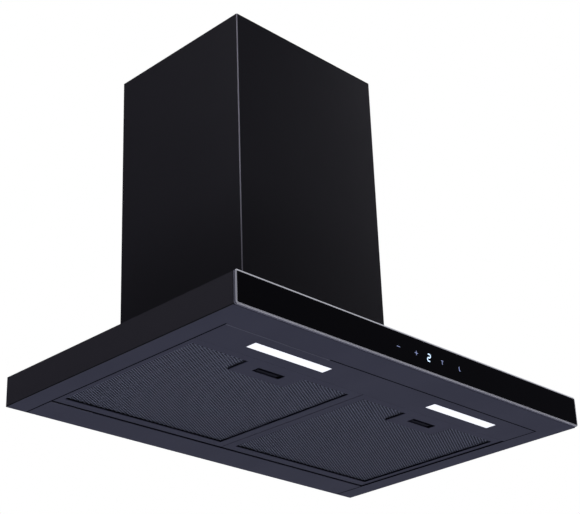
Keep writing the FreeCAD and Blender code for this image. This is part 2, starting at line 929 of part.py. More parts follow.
def box_lid():
    outer = box_half + lid_clearance + box_sheet
    inner = box_half + lid_clearance
    front = -box_depth - lid_clearance - box_sheet
    rear = -hanging_sheet
    lid = box(-outer, outer, front, rear, box_top - lid_lip, lid_top)
    lid = lid.cut(box(-inner, inner, front + box_sheet, rear + 1, box_top - lid_lip - 1, box_top))
    mouth = duct_radius - collar_wall
    lid = lid.cut(cylinder(mouth, 3 * box_sheet, point(0, collar_centre_y, box_top - box_sheet), UP))
    lid = lid.cut(cylinder(gland_radius, 3 * box_sheet, point(gland_x, gland_y, box_top - box_sheet), UP))
    for seat in lid_seats():
        hole = cylinder(screw_radius, 3 * box_sheet, point(inner - 1, seat.y, seat.z), RIGHT)
        lid = lid.cut(hole).cut(mirrored(hole))
    return lid


def blower_box_screws():
    into_plate = box_sheet + hanging_sheet
    into_side = 2 * box_sheet + lid_clearance + screw_grip
    screws = blower_flange_screws()
    screws += [screw(seat, REAR, into_plate) for seat in plate_seats()]
    lid_screws = [screw(seat, point(-1, 0, 0), into_side) for seat in lid_seats()]
    return group(screws + lid_screws + [mirrored(item) for item in lid_screws])


# ---------------------------------------------------------------- outlet collar and flaps


def at_collar(x, y, z):
    return point(x, collar_centre_y + y, z)


def outlet_collar():
    base = at_collar(0, 0, collar_base)
    inner = duct_radius - collar_wall
    wall = cylinder(duct_radius, collar_height, base, UP)
    flange = cylinder(collar_flange_radius, collar_flange_thickness, base, UP)
    collar = fuse(wall, flange).cut(cylinder(inner, collar_height, base, UP))
    stop_top = flap_axis_z - flap_thickness / 2 - flap_stop_gap
    stop_base = at_collar(0, 0, stop_top - flap_stop_height)
    stop = tube(inner, inner - flap_stop_width, flap_stop_height, stop_base, UP)
    collar = fuse(collar, stop)
    bore = cylinder(spindle_radius, 2 * duct_radius, at_collar(-duct_radius, 0, flap_axis_z), RIGHT)
    return collar.cut(bore)


def flap_spindle():
    return cylinder(spindle_radius, 2 * duct_radius, at_collar(-duct_radius, 0, flap_axis_z), RIGHT)


def damper_flap(side, starts):
    """Half a disc on one side of the spindle, with two knuckles round the spindle.

    `side` is -1 for the front flap and 1 for the rear one. `starts` are the X of its knuckles.
    """
    half = flap_thickness / 2
    disc = cylinder(flap_radius, flap_thickness, at_collar(0, 0, flap_axis_z - half), UP)
    reach = 2 * flap_radius

    def slab(x0, x1, from_axis, to_axis):
        y0, y1 = sorted((collar_centre_y + side * from_axis, collar_centre_y + side * to_axis))
        return box(x0, x1, y0, y1, flap_axis_z - half, flap_axis_z + half)

    flap = disc.common(slab(-reach, reach, flap_edge, reach))
    pieces = []
    for x in starts:
        pieces.append(cylinder(knuckle_radius, knuckle_length, at_collar(x, 0, flap_axis_z), RIGHT))
        pieces.append(slab(x, x + knuckle_length, 0, flap_edge + 1))
    flap = fuse(flap, *pieces)
    bore = spindle_radius + running_clearance
    return flap.cut(cylinder(bore, 2 * reach, at_collar(-reach, 0, flap_axis_z), RIGHT))


# ---------------------------------------------------------------- blower


def at_fan(x, y, z):
    return point(x, fan_centre_y + y, fan_centre_z + z)


def scroll_point(angle, radius, x):
    turn = math.radians(angle)
    return at_fan(x, radius * math.cos(turn), radius * math.sin(turn))


def scroll_profile(x, offset):
    """The housing's outline in a YZ plane: a growing spiral, then a neck up to the lid."""
    sweep = scroll_tongue_angle + 180.0
    tongue_shift = math.degrees(1.5 * offset / scroll_start_radius)
    spiral = []
    for i in range(scroll_steps + 1):
        turned = tongue_shift + (sweep - tongue_shift) * i / scroll_steps
        radius = scroll_start_radius + scroll_growth * turned / sweep + offset
        spiral.append(scroll_point(scroll_tongue_angle - turned, radius, x))
    curve = Part.BSplineCurve()
    curve.interpolate(spiral)
    front_y = spiral[-1].y
    neck = [
        spiral[-1],
        point(x, front_y, box_top),
        point(x, scroll_neck_rear_y + offset, box_top),
        spiral[0],
    ]
    edges = [curve.toShape()] + [Part.makeLine(neck[i], neck[i + 1]) for i in range(3)]
    return Part.Face(Part.Wire(edges))


def scroll_housing():
    """The rolled wall of the scroll, between its two side plates."""
    inner_x = scroll_half_width - scroll_wall
    solid = scroll_profile(-inner_x, scroll_wall).extrude(RIGHT * (2 * inner_x))
    return solid.cut(scroll_profile(-inner_x, 0).extrude(RIGHT * (2 * inner_x)))


def scroll_side():
    """The right-hand side plate with its inlet ring."""
    inner_x = scroll_half_width - scroll_wall
    plate = scroll_profile(inner_x, scroll_wall).extrude(RIGHT * scroll_wall)
    ring = cylinder(inlet_radius + scroll_wall, 2 * scroll_wall, at_fan(inner_x, 0, 0), RIGHT)
    hole = cylinder(inlet_radius, 4 * scroll_wall, at_fan(inner_x - 1, 0, 0), RIGHT)
    return fuse(plate, ring).cut(hole)


def impeller_wheel():
    disc = tube(wheel_inner_radius, hub_radius, wheel_disc, at_fan(-wheel_disc / 2, 0, 0), RIGHT)
    rim = tube(
        wheel_radius, wheel_inner_radius - wheel_ring, wheel_disc, at_fan(-wheel_disc / 2, 0, 0), RIGHT
    )
    pieces = [rim]
    for x in (-wheel_half_width, wheel_half_width - wheel_ring):
        pieces.append(tube(wheel_radius, wheel_inner_radius, wheel_ring, at_fan(x, 0, 0), RIGHT))
    blade = box(
        -wheel_half_width,
        wheel_half_width,
        fan_centre_y + wheel_inner_radius + blade_margin,
        fan_centre_y + wheel_radius - blade_margin,
        fan_centre_z - blade_thickness / 2,
        fan_centre_z + blade_thickness / 2,
    )
    blade.rotate(at_fan(0, wheel_inner_radius, 0), RIGHT, blade_pitch_angle)
    for i in range(blade_count):
        turned = blade.copy()
        turned.rotate(at_fan(0, 0, 0), RIGHT, 360.0 * i / blade_count)
        pieces.append(turned)
    return fuse(disc, *pieces)


def impeller_hub():
    start = -wheel_disc / 2 - hub_plate
    boss = cylinder(hub_radius, hub_length, at_fan(start, 0, 0), RIGHT)
    plate = cylinder(hub_flange_radius, hub_plate, at_fan(start, 0, 0), RIGHT)
    return fuse(boss, plate).cut(cylinder(shaft_radius, hub_length, at_fan(start, 0, 0), RIGHT))


def motor_shaft():
    start = motor_outer_x - motor_cap - shaft_stub
    end = -wheel_disc / 2 - hub_plate + hub_length
    return cylinder(shaft_radius, end - start, at_fan(start, 0, 0), RIGHT)


def motor_rotor():
    length = motor_inner_x - motor_outer_x - 2 * rotor_end_gap
    return tube(rotor_radius, shaft_radius, length, at_fan(motor_outer_x + rotor_end_gap, 0, 0), RIGHT)


def motor_body():
    return tube(motor_radius, motor_bore, motor_inner_x - motor_outer_x, at_fan(motor_outer_x, 0, 0), RIGHT)


def motor_caps():
    caps = []
    for x in (motor_outer_x - motor_cap, motor_inner_x):
        caps.append(tube(motor_radius, bush_radius, motor_cap, at_fan(x, 0, 0), RIGHT))
    return group(caps)


def motor_bushes():
    bore = shaft_radius + bush_clearance
    bushes = []
    for x in (motor_outer_x - motor_cap, motor_inner_x):
        bushes.append(tube(bush_radius, bore, motor_cap, at_fan(x, 0, 0), RIGHT))
    return group(bushes)


def motor_bracket():
    """A three-armed spider from the scroll's left inlet to a ring on the motor's outer cap."""
    outer_x = -scroll_half_width - scroll_wall - motor_bracket_sheet
    cap_x = motor_outer_x - motor_cap
    hub = tube(motor_bracket_hub, bush_radius, cap_x - outer_x, at_fan(outer_x, 0, 0), RIGHT)
    arms = []
    half = motor_bracket_arm / 2
    for i in range(3):
        arm = box(
            outer_x,
            outer_x + motor_bracket_sheet,
            fan_centre_y - half,
            fan_centre_y + half,
            fan_centre_z + bush_radius + 1.0,
            fan_centre_z + motor_bracket_reach,
        )
        foot = box(
            outer_x,
            -scroll_half_width,
            fan_centre_y - half,
            fan_centre_y + half,
            fan_centre_z + inlet_radius + 2 * scroll_wall,
            fan_centre_z + motor_bracket_reach,
        )
        for piece in (arm, foot):
            piece.rotate(at_fan(0, 0, 0), RIGHT, 120.0 * i)
            arms.append(piece)
    return fuse(hub, *arms)


def run_capacitor():
    """A motor capacitor on a foot that is fixed to the right side of the blower box."""
    wall_x = box_half - box_sheet
    centre_x = wall_x - capacitor_foot - capacitor_radius
    base_z = canopy_top + capacitor_height_on_box
    can = cylinder(capacitor_radius, capacitor_height, point(centre_x, capacitor_y, base_z), UP)
    foot = box(
        centre_x,
        wall_x,
        capacitor_y - capacitor_foot_half,
        capacitor_y + capacitor_foot_half,
        base_z + capacitor_foot_low,
        base_z + capacitor_foot_high,
    )
    return fuse(can, foot)


# ---------------------------------------------------------------- power box, gland and leads


def power_limits():
    front = -box_depth + box_sheet
    half = power_width / 2
    return -half, half, front, front + power_depth, power_base_z, power_base_z + power_height


def power_box():
    x0, x1, y0, y1, z0, z1 = power_limits()
    w = power_wall
    return box(x0, x1, y0, y1, z0, z1).cut(box(x0 + w, x1 - w, y0 + w, y1 + 1, z0 + w, z1 - w))


def power_box_lid():
    x0, x1, _, y1, z0, z1 = power_limits()
    return box(x0, x1, y1, y1 + power_lid, z0, z1)


def cable_gland():
    base = point(gland_x, gland_y, box_top - gland_below)
    body = cylinder(gland_radius, gland_below + box_sheet + gland_above, base, UP)
    flats = 2 * gland_nut_radius
    nut_under = hexagon(flats, gland_nut_under, point(gland_x, gland_y, box_top - gland_nut_under))
    nut_over = hexagon(flats, gland_nut_over, point(gland_x, gland_y, lid_top))
    bore = cylinder(gland_bore, gland_below + box_sheet + gland_above, base, UP)
    return fuse(body, nut_under, nut_over).cut(bore)


def lead(points):
    """A tube along straight runs joined by tangent arcs."""
    edges = []
    start = points[0]
    for before, corner, after in zip(points, points[1:], points[2:]):
        to_before = (before - corner).normalize()
        to_after = (after - corner).normalize()
        turn = math.pi - to_before.getAngle(to_after)
        setback = 0.45 * min((before - corner).Length, (after - corner).Length)
        bend = setback / math.tan(turn / 2)
        middle = (to_before + to_after).normalize()
        reach = bend / math.cos(turn / 2) - bend
        enter = corner + to_before * setback
        leave = corner + to_after * setback
        edges.append(Part.LineSegment(start, enter).toShape())
        edges.append(Part.Arc(enter, corner + middle * reach, leave).toShape())
        start = leave
        print("lead bend radius", round(bend, 1))
    edges.append(Part.LineSegment(start, points[-1]).toShape())
    path = Part.Wire(edges)
    first = points[1] - points[0]
    section = Part.Wire([Part.makeCircle(lead_radius, points[0], first)])
    return path.makePipeShell([section], True, False)


def steps_from(start, steps):
    """Points at the given steps from a start."""
    return [start + point(*step) for step in steps]


def control_lead():
    _, _, power_y0, power_y1, _, _ = power_limits()
    start = point(
        controls_x + control_lead_offset,
        wall_y + canopy_sheet + housing_depth,
        controls_z + control_lead_rise,
    )
    end = point(start.x - control_lead_shift, (power_y0 + power_y1) / 2, power_base_z)
    return lead([start, *steps_from(start, control_lead_run), *steps_from(end, control_lead_end), end])


def lamp_leads():
    _, _, lamp_y0, lamp_y1 = lamp_place()
    _, _, power_y0, power_y1, _, _ = power_limits()
    leads = []
    for side, entry_x in lamp_lead_entries:
        start = point(side * lamp_spacing / 2, (lamp_y0 + lamp_y1) / 2, canopy_sheet + lamp_tray_height)
        run = [(side * x, y, z) for x, y, z in lamp_lead_run]
        end = point(entry_x, (power_y0 + power_y1) / 2, power_base_z)
        leads.append(lead([start, *steps_from(start, run), *steps_from(end, lamp_lead_end), end]))
    return group(leads)


def motor_lead():
    x0, _, y0, y1, _, z1 = power_limits()
    start = at_fan(-scroll_half_width - scroll_wall - motor_bracket_sheet, *motor_lead_start)
    end = point(x0, (y0 + y1) / 2, z1 - motor_lead_drop)
    return lead([start, *steps_from(start, motor_lead_run), *steps_from(end, motor_lead_end), end])


# ---------------------------------------------------------------- all sub-parts

single = {
    "canopy_shell": canopy_shell,
    "rear_panel": rear_panel,
    "lamp_panel": lamp_panel,
    "lamp_panel_screws": lamp_panel_screws,
    "lamp_tray_nuts": lamp_tray_nuts,
    "front_glass": front_glass,
    "glass_pads": glass_pads,
    "control_housing": control_housing,
    "touch_board": touch_board,
    "touch_pads": touch_pads,
    "digit_display": digit_display,
    "motor_box": motor_box,
    "hanging_plate": hanging_plate,
    "box_lid": box_lid,
    "blower_box_screws": blower_box_screws,
    "outlet_collar": outlet_collar,
    "flap_spindle": flap_spindle,
    "scroll_housing": scroll_housing,
    "impeller_wheel": impeller_wheel,
    "impeller_hub": impeller_hub,
    "motor_shaft": motor_shaft,
    "motor_rotor": motor_rotor,
    "motor_body": motor_body,
    "motor_caps": motor_caps,
    "motor_bushes": motor_bushes,
    "motor_bracket": motor_bracket,
    "run_capacitor": run_capacitor,
    "power_box": power_box,
    "power_box_lid": power_box_lid,
    "cable_gland": cable_gland,
    "control_lead": control_lead,
    "lamp_leads": lamp_leads,
    "motor_lead": motor_lead,
    "lower_chimney": lower_chimney,
    "chimney_screws": chimney_screws,
    "upper_chimney": upper_chimney,
    "chimney_bracket": chimney_bracket,
    "bracket_screws": bracket_screws,
}

# Sub-parts with a left-hand twin. The function makes the right-hand one.
paired = {
    "lamp_lens": lamp_lens,
    "lamp_tray": lamp_tray,
    "led_strip": led_strip,
    "filter_frame": filter_frame,
    "filter_mesh": filter_mesh,
    "filter_core": filter_core,
    "latch_pad": latch_pad,
    "latch_slider": latch_slider,
    "latch_spring": latch_spring,
    "scroll_side": scroll_side,
}


def save(name, shape):
    valid = shape.isValid()
    solids = len(shape.Solids)
    if not valid or not solids:
        raise RuntimeError(f"{name}: valid {valid}, solids {solids}")
    shape.exportStep(f"parts/{name}.step")
    print(name, "solids", solids, "volume", round(shape.Volume, 1))


os.makedirs("parts", exist_ok=True)
for name, make in single.items():
    save(name, make())
for name, make in paired.items():
    right = make()
    save(name + "_right", right)
    save(name + "_left", mirrored(right))
save("damper_flap_front", damper_flap(-1, front_knuckles))
save("damper_flap_rear", damper_flap(1, rear_knuckles))
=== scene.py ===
"""The finishes and fine parts of a black chimney range hood, built around its frame."""

import math

import bpy
from bpy.props import FloatProperty, FloatVectorProperty, IntProperty, PointerProperty
from mathutils import Euler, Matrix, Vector


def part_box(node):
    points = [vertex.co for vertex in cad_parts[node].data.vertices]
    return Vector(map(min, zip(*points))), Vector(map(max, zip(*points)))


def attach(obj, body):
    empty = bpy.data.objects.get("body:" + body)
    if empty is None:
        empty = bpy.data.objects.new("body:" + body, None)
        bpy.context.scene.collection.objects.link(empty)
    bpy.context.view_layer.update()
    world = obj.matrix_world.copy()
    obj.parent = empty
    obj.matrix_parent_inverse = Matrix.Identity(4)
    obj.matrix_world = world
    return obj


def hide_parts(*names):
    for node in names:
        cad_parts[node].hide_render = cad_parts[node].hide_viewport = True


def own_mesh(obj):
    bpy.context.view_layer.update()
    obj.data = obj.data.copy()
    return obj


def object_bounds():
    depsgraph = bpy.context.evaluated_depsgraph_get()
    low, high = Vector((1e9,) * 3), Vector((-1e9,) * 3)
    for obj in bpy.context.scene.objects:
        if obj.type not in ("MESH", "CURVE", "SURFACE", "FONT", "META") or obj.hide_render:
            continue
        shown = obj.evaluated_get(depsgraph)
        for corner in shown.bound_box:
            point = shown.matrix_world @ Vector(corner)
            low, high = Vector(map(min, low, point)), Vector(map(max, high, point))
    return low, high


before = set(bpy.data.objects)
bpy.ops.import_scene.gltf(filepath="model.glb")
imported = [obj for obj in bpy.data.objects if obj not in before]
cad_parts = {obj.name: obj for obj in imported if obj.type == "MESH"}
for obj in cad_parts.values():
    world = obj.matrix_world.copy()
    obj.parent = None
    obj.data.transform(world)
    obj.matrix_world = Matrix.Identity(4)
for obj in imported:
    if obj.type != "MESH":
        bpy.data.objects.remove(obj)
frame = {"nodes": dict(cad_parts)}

bl_info = {
    "name": "Chimney Range Hood",
    "version": (1, 0, 0),
    "blender": (4, 5, 0),
    "location": "3D View > Sidebar > Hood",
    "description": "Adds the finishes and the fine parts of a chimney range hood",
    "category": "Add Mesh",
}

NODES = frame["nodes"]
CAD_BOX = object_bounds()
SIDES = ("left", "right")
GLASS_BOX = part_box("front_glass")
DISPLAY_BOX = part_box("digit_display")
HALF_WIDTH = GLASS_BOX[1].x
FOLD_DEPTH = 0.0005
# Height of the painted shadow line along the lower edge of the canopy's sides.
SIDE_SHADOW_LINE = 0.0016
UNDERSIDE_LEVEL = 0.0009
CANOPY_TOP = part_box("canopy_shell")[1].z - 0.0015
FILTER_LEVEL = 0.0019
GLOW_EDGE = 0.75
GLOW_CORE = 0.99
MESH_SEAT = 0.0005
WIRE_STEPS_PER_TURN = 24
WIRE_SIDES = 8
GLINT_BAND = 2.5
TOP_GLINT = 0.40
FAINT_GLINT = 0.12
BLACK = (0.0, 0.0, 0.0)
# Near-black painted shade for faces above the underside level: between folds, along seams and in recesses.
PAINTED_SHADE = (0.0015, 0.0015, 0.0020)
PALE_GREY = (0.08, 0.08, 0.09)


# ---------------------------------------------------------------- settings


def length(name, description, default):
    return FloatProperty(
        name=name, description=description, default=default, unit="LENGTH", subtype="DISTANCE", precision=5
    )


def colour(name, description, default):
    return FloatVectorProperty(
        name=name, description=description, default=default, size=3, subtype="COLOR", min=0.0, max=1.0
    )


def share(name, description, default):
    return FloatProperty(
        name=name, description=description, default=default, subtype="FACTOR", min=0.0, max=1.0
    )


def direction(name, description, default):
    return FloatVectorProperty(
        name=name, description=description, default=default, size=3, subtype="DIRECTION"
    )


def glow(name, description, default):
    return FloatVectorProperty(
        name=name, description=description, default=default, size=3, subtype="COLOR", min=0.0
    )


class HoodSizes(bpy.types.PropertyGroup):
    """Sizes of the fine parts that the frame leaves plain."""

    glass_corner: length("Glass corner", "Radius of the pane's corners", 0.004)
    arris_width: length("Arris width", "Width of the bevel on the pane's face", 0.0025)
    arris_depth: length("Arris depth", "Depth of the bevel into the pane's edge", 0.0008)
    glass_rise: length("Glass rise", "How far the pane stands above the canopy", 0.0022)
    mark_height: length("Mark height", "Height of a lit mark on the glass", 0.0066)
    mark_stroke: length("Mark stroke", "Line width of a lit mark", 0.0009)
    mark_thickness: length("Mark thickness", "How far a mark stands on the glass", 0.00012)
    minus_place: length("Minus place", "Distance of the minus mark from the digit", -0.067)
    plus_place: length("Plus place", "Distance of the plus mark from the digit", -0.028)
    timer_place: length("Timer place", "Distance of the timer mark from the digit", 0.030)
    lamp_place: length("Lamp place", "Distance of the lamp mark from the digit", 0.070)
    # Width of the painted highlight along each front bend of the chimney.
    bend_highlight_width: length("Worn bend", "Width of the worn line along a bend of the chimney", 0.0014)
    # Strips of painted shade fill the seams: how far they lap, their width, how far they stand proud and how
    # deep they reach.
    shade_filler_lap: length("Sealant lap", "How far a bead of sealant laps the lamp panel", 0.0001)
    shade_filler_width: length("Sealant width", "Width of a bead of sealant", 0.0023)
    shade_filler_proud: length("Sealant proud", "How far the sealant stands below the panel", 0.0001)
    shade_filler_depth: length("Sealant depth", "How far the sealant reaches into the seam", 0.0006)
    # The painted highlight along the panels' front edges: its width and where it ends on each panel.
    highlit_edge: length("Rubbed edge", "Width of the rubbed line on a panel's front edge", 0.0015)
    lamp_panel_highlight_end: length("Lamp panel rub", "Where the rubbed line of the lamp panel ends", -0.14)
    rear_panel_highlight_end: length("Rear panel rub", "Where the rubbed line of the rear panel ends", -0.26)
    digit_height: length("Digit height", "Height of the lit digit", 0.0128)
    digit_width: length("Digit width", "Width of the lit digit", 0.0080)
    digit_stroke: length("Digit stroke", "Width of a segment of the digit", 0.0019)
    spring_wire: length("Spring wire", "Radius of the wire of the latch springs", 0.00035)
    spring_turns: IntProperty(name="Spring turns", description="Turns of the latch springs", default=6)
    latch_travel: length("Latch travel", "How much the latch springs shorten", 0.0041)
    mesh_long: length("Mesh long half", "Half the long diagonal of a mesh opening", 0.0043)
    mesh_short: length("Mesh short half", "Half the short diagonal of a mesh opening", 0.0025)
    mesh_tilt: length("Mesh tilt", "How far a strand's edges rise and fall", 0.00032)
    mesh_gauge: length("Mesh gauge", "Thickness of the mesh metal", 0.0003)
    mesh_open: share("Mesh opening", "Share of a diamond that is open", 0.66)
    coarse_mesh: FloatProperty(
        name="Inner mesh", description="Size of the inner mesh over the outer", default=1.6
    )


class HoodFinishes(bpy.types.PropertyGroup):
    """Colours and gloss of the hood's finishes."""

    paint: colour("Paint", "Powder coat of the canopy and the chimney", (0.034, 0.033, 0.039))
    paint_roughness: share("Paint roughness", "Roughness of the powder coat", 0.48)
    # A lighter copy of the canopy's paint on its two sides: painted light.
    side_lit_paint: colour("Side paint", "Powder coat of the canopy's two sides", (0.080, 0.077, 0.091))
    # Colour of the painted highlight along the chimney's front bends.
    bend_highlight: colour("Worn paint", "Paint along the bends of the chimney", (0.80, 0.79, 0.84))
    # The underside colour is the black coat painted lighter and bluer, as light from below.
    underside: colour("Underside", "Coat of the canopy's underside and the lamp panel", (0.085, 0.091, 0.142))
    # The filter frames' colour is the same painted light from below on their black coat.
    frame: colour("Filter frame", "Coat of the filter frames", (0.090, 0.096, 0.150))
    # Colour of the painted highlight along a panel's front edge.
    highlit: colour("Rubbed", "Underside paint rubbed along an edge", (0.30, 0.31, 0.38))
    # Near-black painted shade for the strips in the seams.
    shade_filler: colour("Sealant", "Sealant in the seams", (0.004, 0.004, 0.006))
    tab: colour("Tab", "Coat of the latch tabs", (0.020, 0.021, 0.032))
    # Lit and shaded copies of one black mesh coat: the outer mesh painted lighter and bluer as light from
    # below, the inner mesh painted dark as shade.
    mesh: colour("Mesh", "Coat of the filter mesh", (0.44, 0.48, 0.60))
    shaded_inner_mesh: colour("Inner mesh", "Coat of the mesh above the core", (0.05, 0.053, 0.075))
    # Near-black painted shade for the filter cores.
    core: colour("Core", "Inner layers of the filters", (0.006, 0.006, 0.010))
    glass: colour("Glass", "Printed back of the front glass", (0.0022, 0.0022, 0.0034))
    ground_edge: colour("Ground edge", "Ground edge of the front glass", (0.30, 0.305, 0.37))
    # Colour of the painted highlight on the bevels of the front glass.
    arris: colour("Arris", "Bevels of the front glass", (0.85, 0.86, 0.92))
    lamp: colour("Lamp", "Light of the strip lamps", (0.93, 0.95, 1.0))
    digit: colour("Digit", "Light of the digit", (0.62, 0.80, 1.0))
    mark: colour("Mark", "Light of the small marks", (0.36, 0.42, 0.72))
    zinc: colour("Zinc", "Galvanised sheet", (0.47, 0.49, 0.51))


class HoodStudio(bpy.types.PropertyGroup):
    """The camera, the floor and the lights."""

    camera_place: FloatVectorProperty(
        name="Camera place", description="Where the camera stands",
        default=(-1.581194, -1.769724, -0.780187), size=3, subtype="XYZ", unit="LENGTH",
    )
    camera_turn: FloatVectorProperty(
        name="Camera turn", description="Which way the camera looks, as Euler angles",
        default=tuple(math.radians(a) for a in (114.8244, 2.0776, -45.2746)), size=3, subtype="EULER",
    )
    camera_shift: FloatVectorProperty(
        name="Camera shift", description="Shift of the lens across and up",
        default=(-0.017241, 0.039655), size=2,
    )
    lens: FloatProperty(name="Lens", description="Focal length in millimetres", default=93.2124)
    floor_height: length("Floor", "Height of the floor", -3.0)
    floor_tone: colour("Floor tone", "Paleness of the floor as the camera sees it", (0.74, 0.74, 0.75))
    floor_size: length("Floor size", "Side of the floor", 5.0)
    backdrop: colour("Backdrop", "What the camera sees behind the hood", (1.0, 1.0, 1.0))
    room: colour("Room", "Light of the room's walls and ceiling", (0.0440, 0.0430, 0.0540))
    low_glow: glow("Low glow", "Light of the big softbox under the hood's left end", (2.40, 2.38, 2.72))
    low_from: direction("Low glow from", "Direction of the softbox under the left end", (-0.30, -0.22, -0.93))
    rear_glow: glow("Rear glow", "Light of the softbox behind the right end", (0.262, 0.272, 0.375))
    rear_from: direction(
        "Rear glow from", "Direction of the softbox behind the right end", (0.62, 0.55, -0.56)
    )
    lamp_tint: colour("Lamp tint", "Colour of the studio's own lamps", (0.94, 0.91, 1.0))
    strip_power: FloatProperty(
        name="Strip", description="Power of the strip light at the right", default=0.372
    )
    high_power: FloatProperty(name="High", description="Power of the light at the upper left", default=1.20)
    back_power: FloatProperty(name="Back", description="Power of the light behind the hood", default=24.0)
    top_power: FloatProperty(name="Top", description="Power of the overhead light", default=9.0)


# ---------------------------------------------------------------- finishes


class Value:
    """A socket that adds its Math nodes when it is used in an expression."""

    def __init__(self, shading, socket):
        self.shading = shading
        self.socket = socket

    def math(self, operation, *others, first=None):
        terms = (self, *others) if first is None else (first, self)
        return self.shading.node("ShaderNodeMath", {"operation": operation}, dict(enumerate(terms)))

    def __add__(self, other):
        return self.math("ADD", other)

    __radd__ = __add__

    def __mul__(self, other):
        return self.math("MULTIPLY", other)

    __rmul__ = __mul__

    def __sub__(self, other):
        return self.math("SUBTRACT", other)

    def __rsub__(self, other):
        return self.math("SUBTRACT", first=other)

    def __truediv__(self, other):
        return self.math("DIVIDE", other)

    def __gt__(self, other):
        return self.math("GREATER_THAN", other)

    def __lt__(self, other):
        return self.math("LESS_THAN", other)

    def __abs__(self):
        return self.math("ABSOLUTE")

    def to_and_fro(self, turn):
        return self.math("PINGPONG", turn)

    def clamped(self):
        return self.math("MAXIMUM", 0.0).math("MINIMUM", 1.0)

    def ramped(self, start, end):
        """Rises smoothly from 0 at `start` to 1 at `end`."""
        settings = {"interpolation_type": "SMOOTHSTEP"}
        return self.shading.node("ShaderNodeMapRange", settings, {0: self, 1: start, 2: end})


class Shading:
    """A node tree that nodes are added to."""

    def __init__(self, tree):
        self.tree = tree

    def node(self, kind, settings=None, inputs=None, output=0):
        """Adds a node, makes its settings, fills its sockets and gives one of its outputs."""
        node = self.tree.nodes.new(kind)
        for name, value in (settings or {}).items():
            setattr(node, name, value)
        for name, value in (inputs or {}).items():
            self.feed(node.inputs[name], value)
        return Value(self, node.outputs[output])

    def feed(self, socket, value):
        if isinstance(value, Value):
            self.tree.links.new(value.socket, socket)
        elif socket.type == "RGBA" and len(value) == 3:
            socket.default_value = (*value, 1.0)
        else:
            socket.default_value = value

    def mix(self, factor, low, high):
        return self.node("ShaderNodeMix", {"data_type": "RGBA"}, {0: factor, 6: low, 7: high}, output=2)

    def add(self, one, other):
        settings = {"data_type": "RGBA", "blend_type": "ADD"}
        return self.node("ShaderNodeMix", settings, {0: 1.0, 6: one, 7: other}, output=2)


class Finish(Shading):
    """A node material round one Principled shader."""

    def __init__(self, name, **constants):
        self.material = bpy.data.materials.new(name)
        self.material.use_nodes = True
        super().__init__(self.material.node_tree)
        self.shader = self.tree.nodes["Principled BSDF"]
        for socket, value in constants.items():
            self.shader.inputs[socket.replace("_", " ")].default_value = value
        self.place = self.node("ShaderNodeTexCoord", output="Object")

    def drive(self, name, value):
        self.feed(self.shader.inputs[name], value)

    def noise(self, scale, detail=3.0, stretch=(1.0, 1.0, 1.0), roughness=0.5):
        place = self.node("ShaderNodeMapping", {}, {"Vector": self.place, "Scale": stretch})
        inputs = {"Vector": place, "Scale": scale, "Detail": detail, "Roughness": roughness}
        return self.node("ShaderNodeTexNoise", {}, inputs)

    def axes(self):
        parts = self.node("ShaderNodeSeparateXYZ", {}, {"Vector": self.place}).socket.node
        return [Value(self, parts.outputs[i]) for i in range(3)]

    def bump(self, height, strength, distance):
        normal = self.node(
            "ShaderNodeBump", {}, {"Height": height, "Strength": strength, "Distance": distance}
        )
        self.drive("Normal", normal)


def shade(tone, factor):
    return tuple(min(1.0, c * factor) for c in tone)


def powder_coat(name, roughness, choose_tone, shine=0.5):
    """Satin powder coat: a fine orange peel, faint cloudy tone and slightly uneven gloss.

    `choose_tone` gets the finish and gives its tone, plain or by place.
    """
    finish = Finish(name, Specular_IOR_Level=shine)
    cloud = finish.noise(7.0, 4.0)
    grain = finish.noise(2600.0, 2.0)
    peel = finish.noise(520.0, 2.0)
    base = choose_tone(finish)
    low, high = finish.mix(0.14, base, BLACK), finish.mix(0.10, base, PALE_GREY)
    finish.drive("Base Color", finish.mix(cloud * 0.7 + grain * 0.3, low, high))
    wiped = finish.noise(16.0, 5.0, (1.0, 0.35, 1.0))
    finish.drive("Roughness", (roughness - 0.06) + wiped * 0.10 + grain * 0.03)
    finish.bump(peel * 0.8 + grain * 0.2, 0.10, 0.0004)
    return finish.material


def chimney_tone(paint, bend_highlight, box, bend):
    """Paint with a painted highlight along the two front bends of the chimney, where the bends would catch
    the light.
    """

    def choose(finish):
        x, y, _ = finish.axes()
        bent = (abs(x) > box[1].x - bend) * (y < box[0].y + bend)
        return finish.mix(bent, paint, bend_highlight)

    return choose


def canopy_tone(paint, side_lit_paint, under):
    """Paint on top; on the two sides a lighter copy of the paint as painted light, with a painted shadow line
    along their lower edge; below, the lighter, bluer tone painted as light from below; and painted shade
    between the folds.
    """

    def choose(finish):
        x, _, z = finish.axes()
        below = finish.mix(z < UNDERSIDE_LEVEL, PAINTED_SHADE, under)
        around = finish.mix(z > CANOPY_TOP, below, paint)
        side = finish.mix(z < SIDE_SHADOW_LINE, side_lit_paint, PAINTED_SHADE)
        return finish.mix(abs(x) > HALF_WIDTH - FOLD_DEPTH, around, side)

    return choose


def edge_highlight_tone(under, pale, box, width, reach):
    """The lighter, bluer tone below painted as light from below, with a painted highlight along the front
    edge from the left end as far as `reach`, and painted shade above.
    """

    def choose(finish):
        x, y, z = finish.axes()
        highlit = (y < box[0].y + width) * (x < reach)
        return finish.mix(z < UNDERSIDE_LEVEL, PAINTED_SHADE, finish.mix(highlit, under, pale))

    return choose


def downward_tone(under, level):
    """The lighter, bluer tone painted as light from below on the faces that lie below `level`, and painted
    shade on the folds above it.
    """

    def choose(finish):
        _, _, z = finish.axes()
        return finish.mix(z < level, PAINTED_SHADE, under)

    return choose


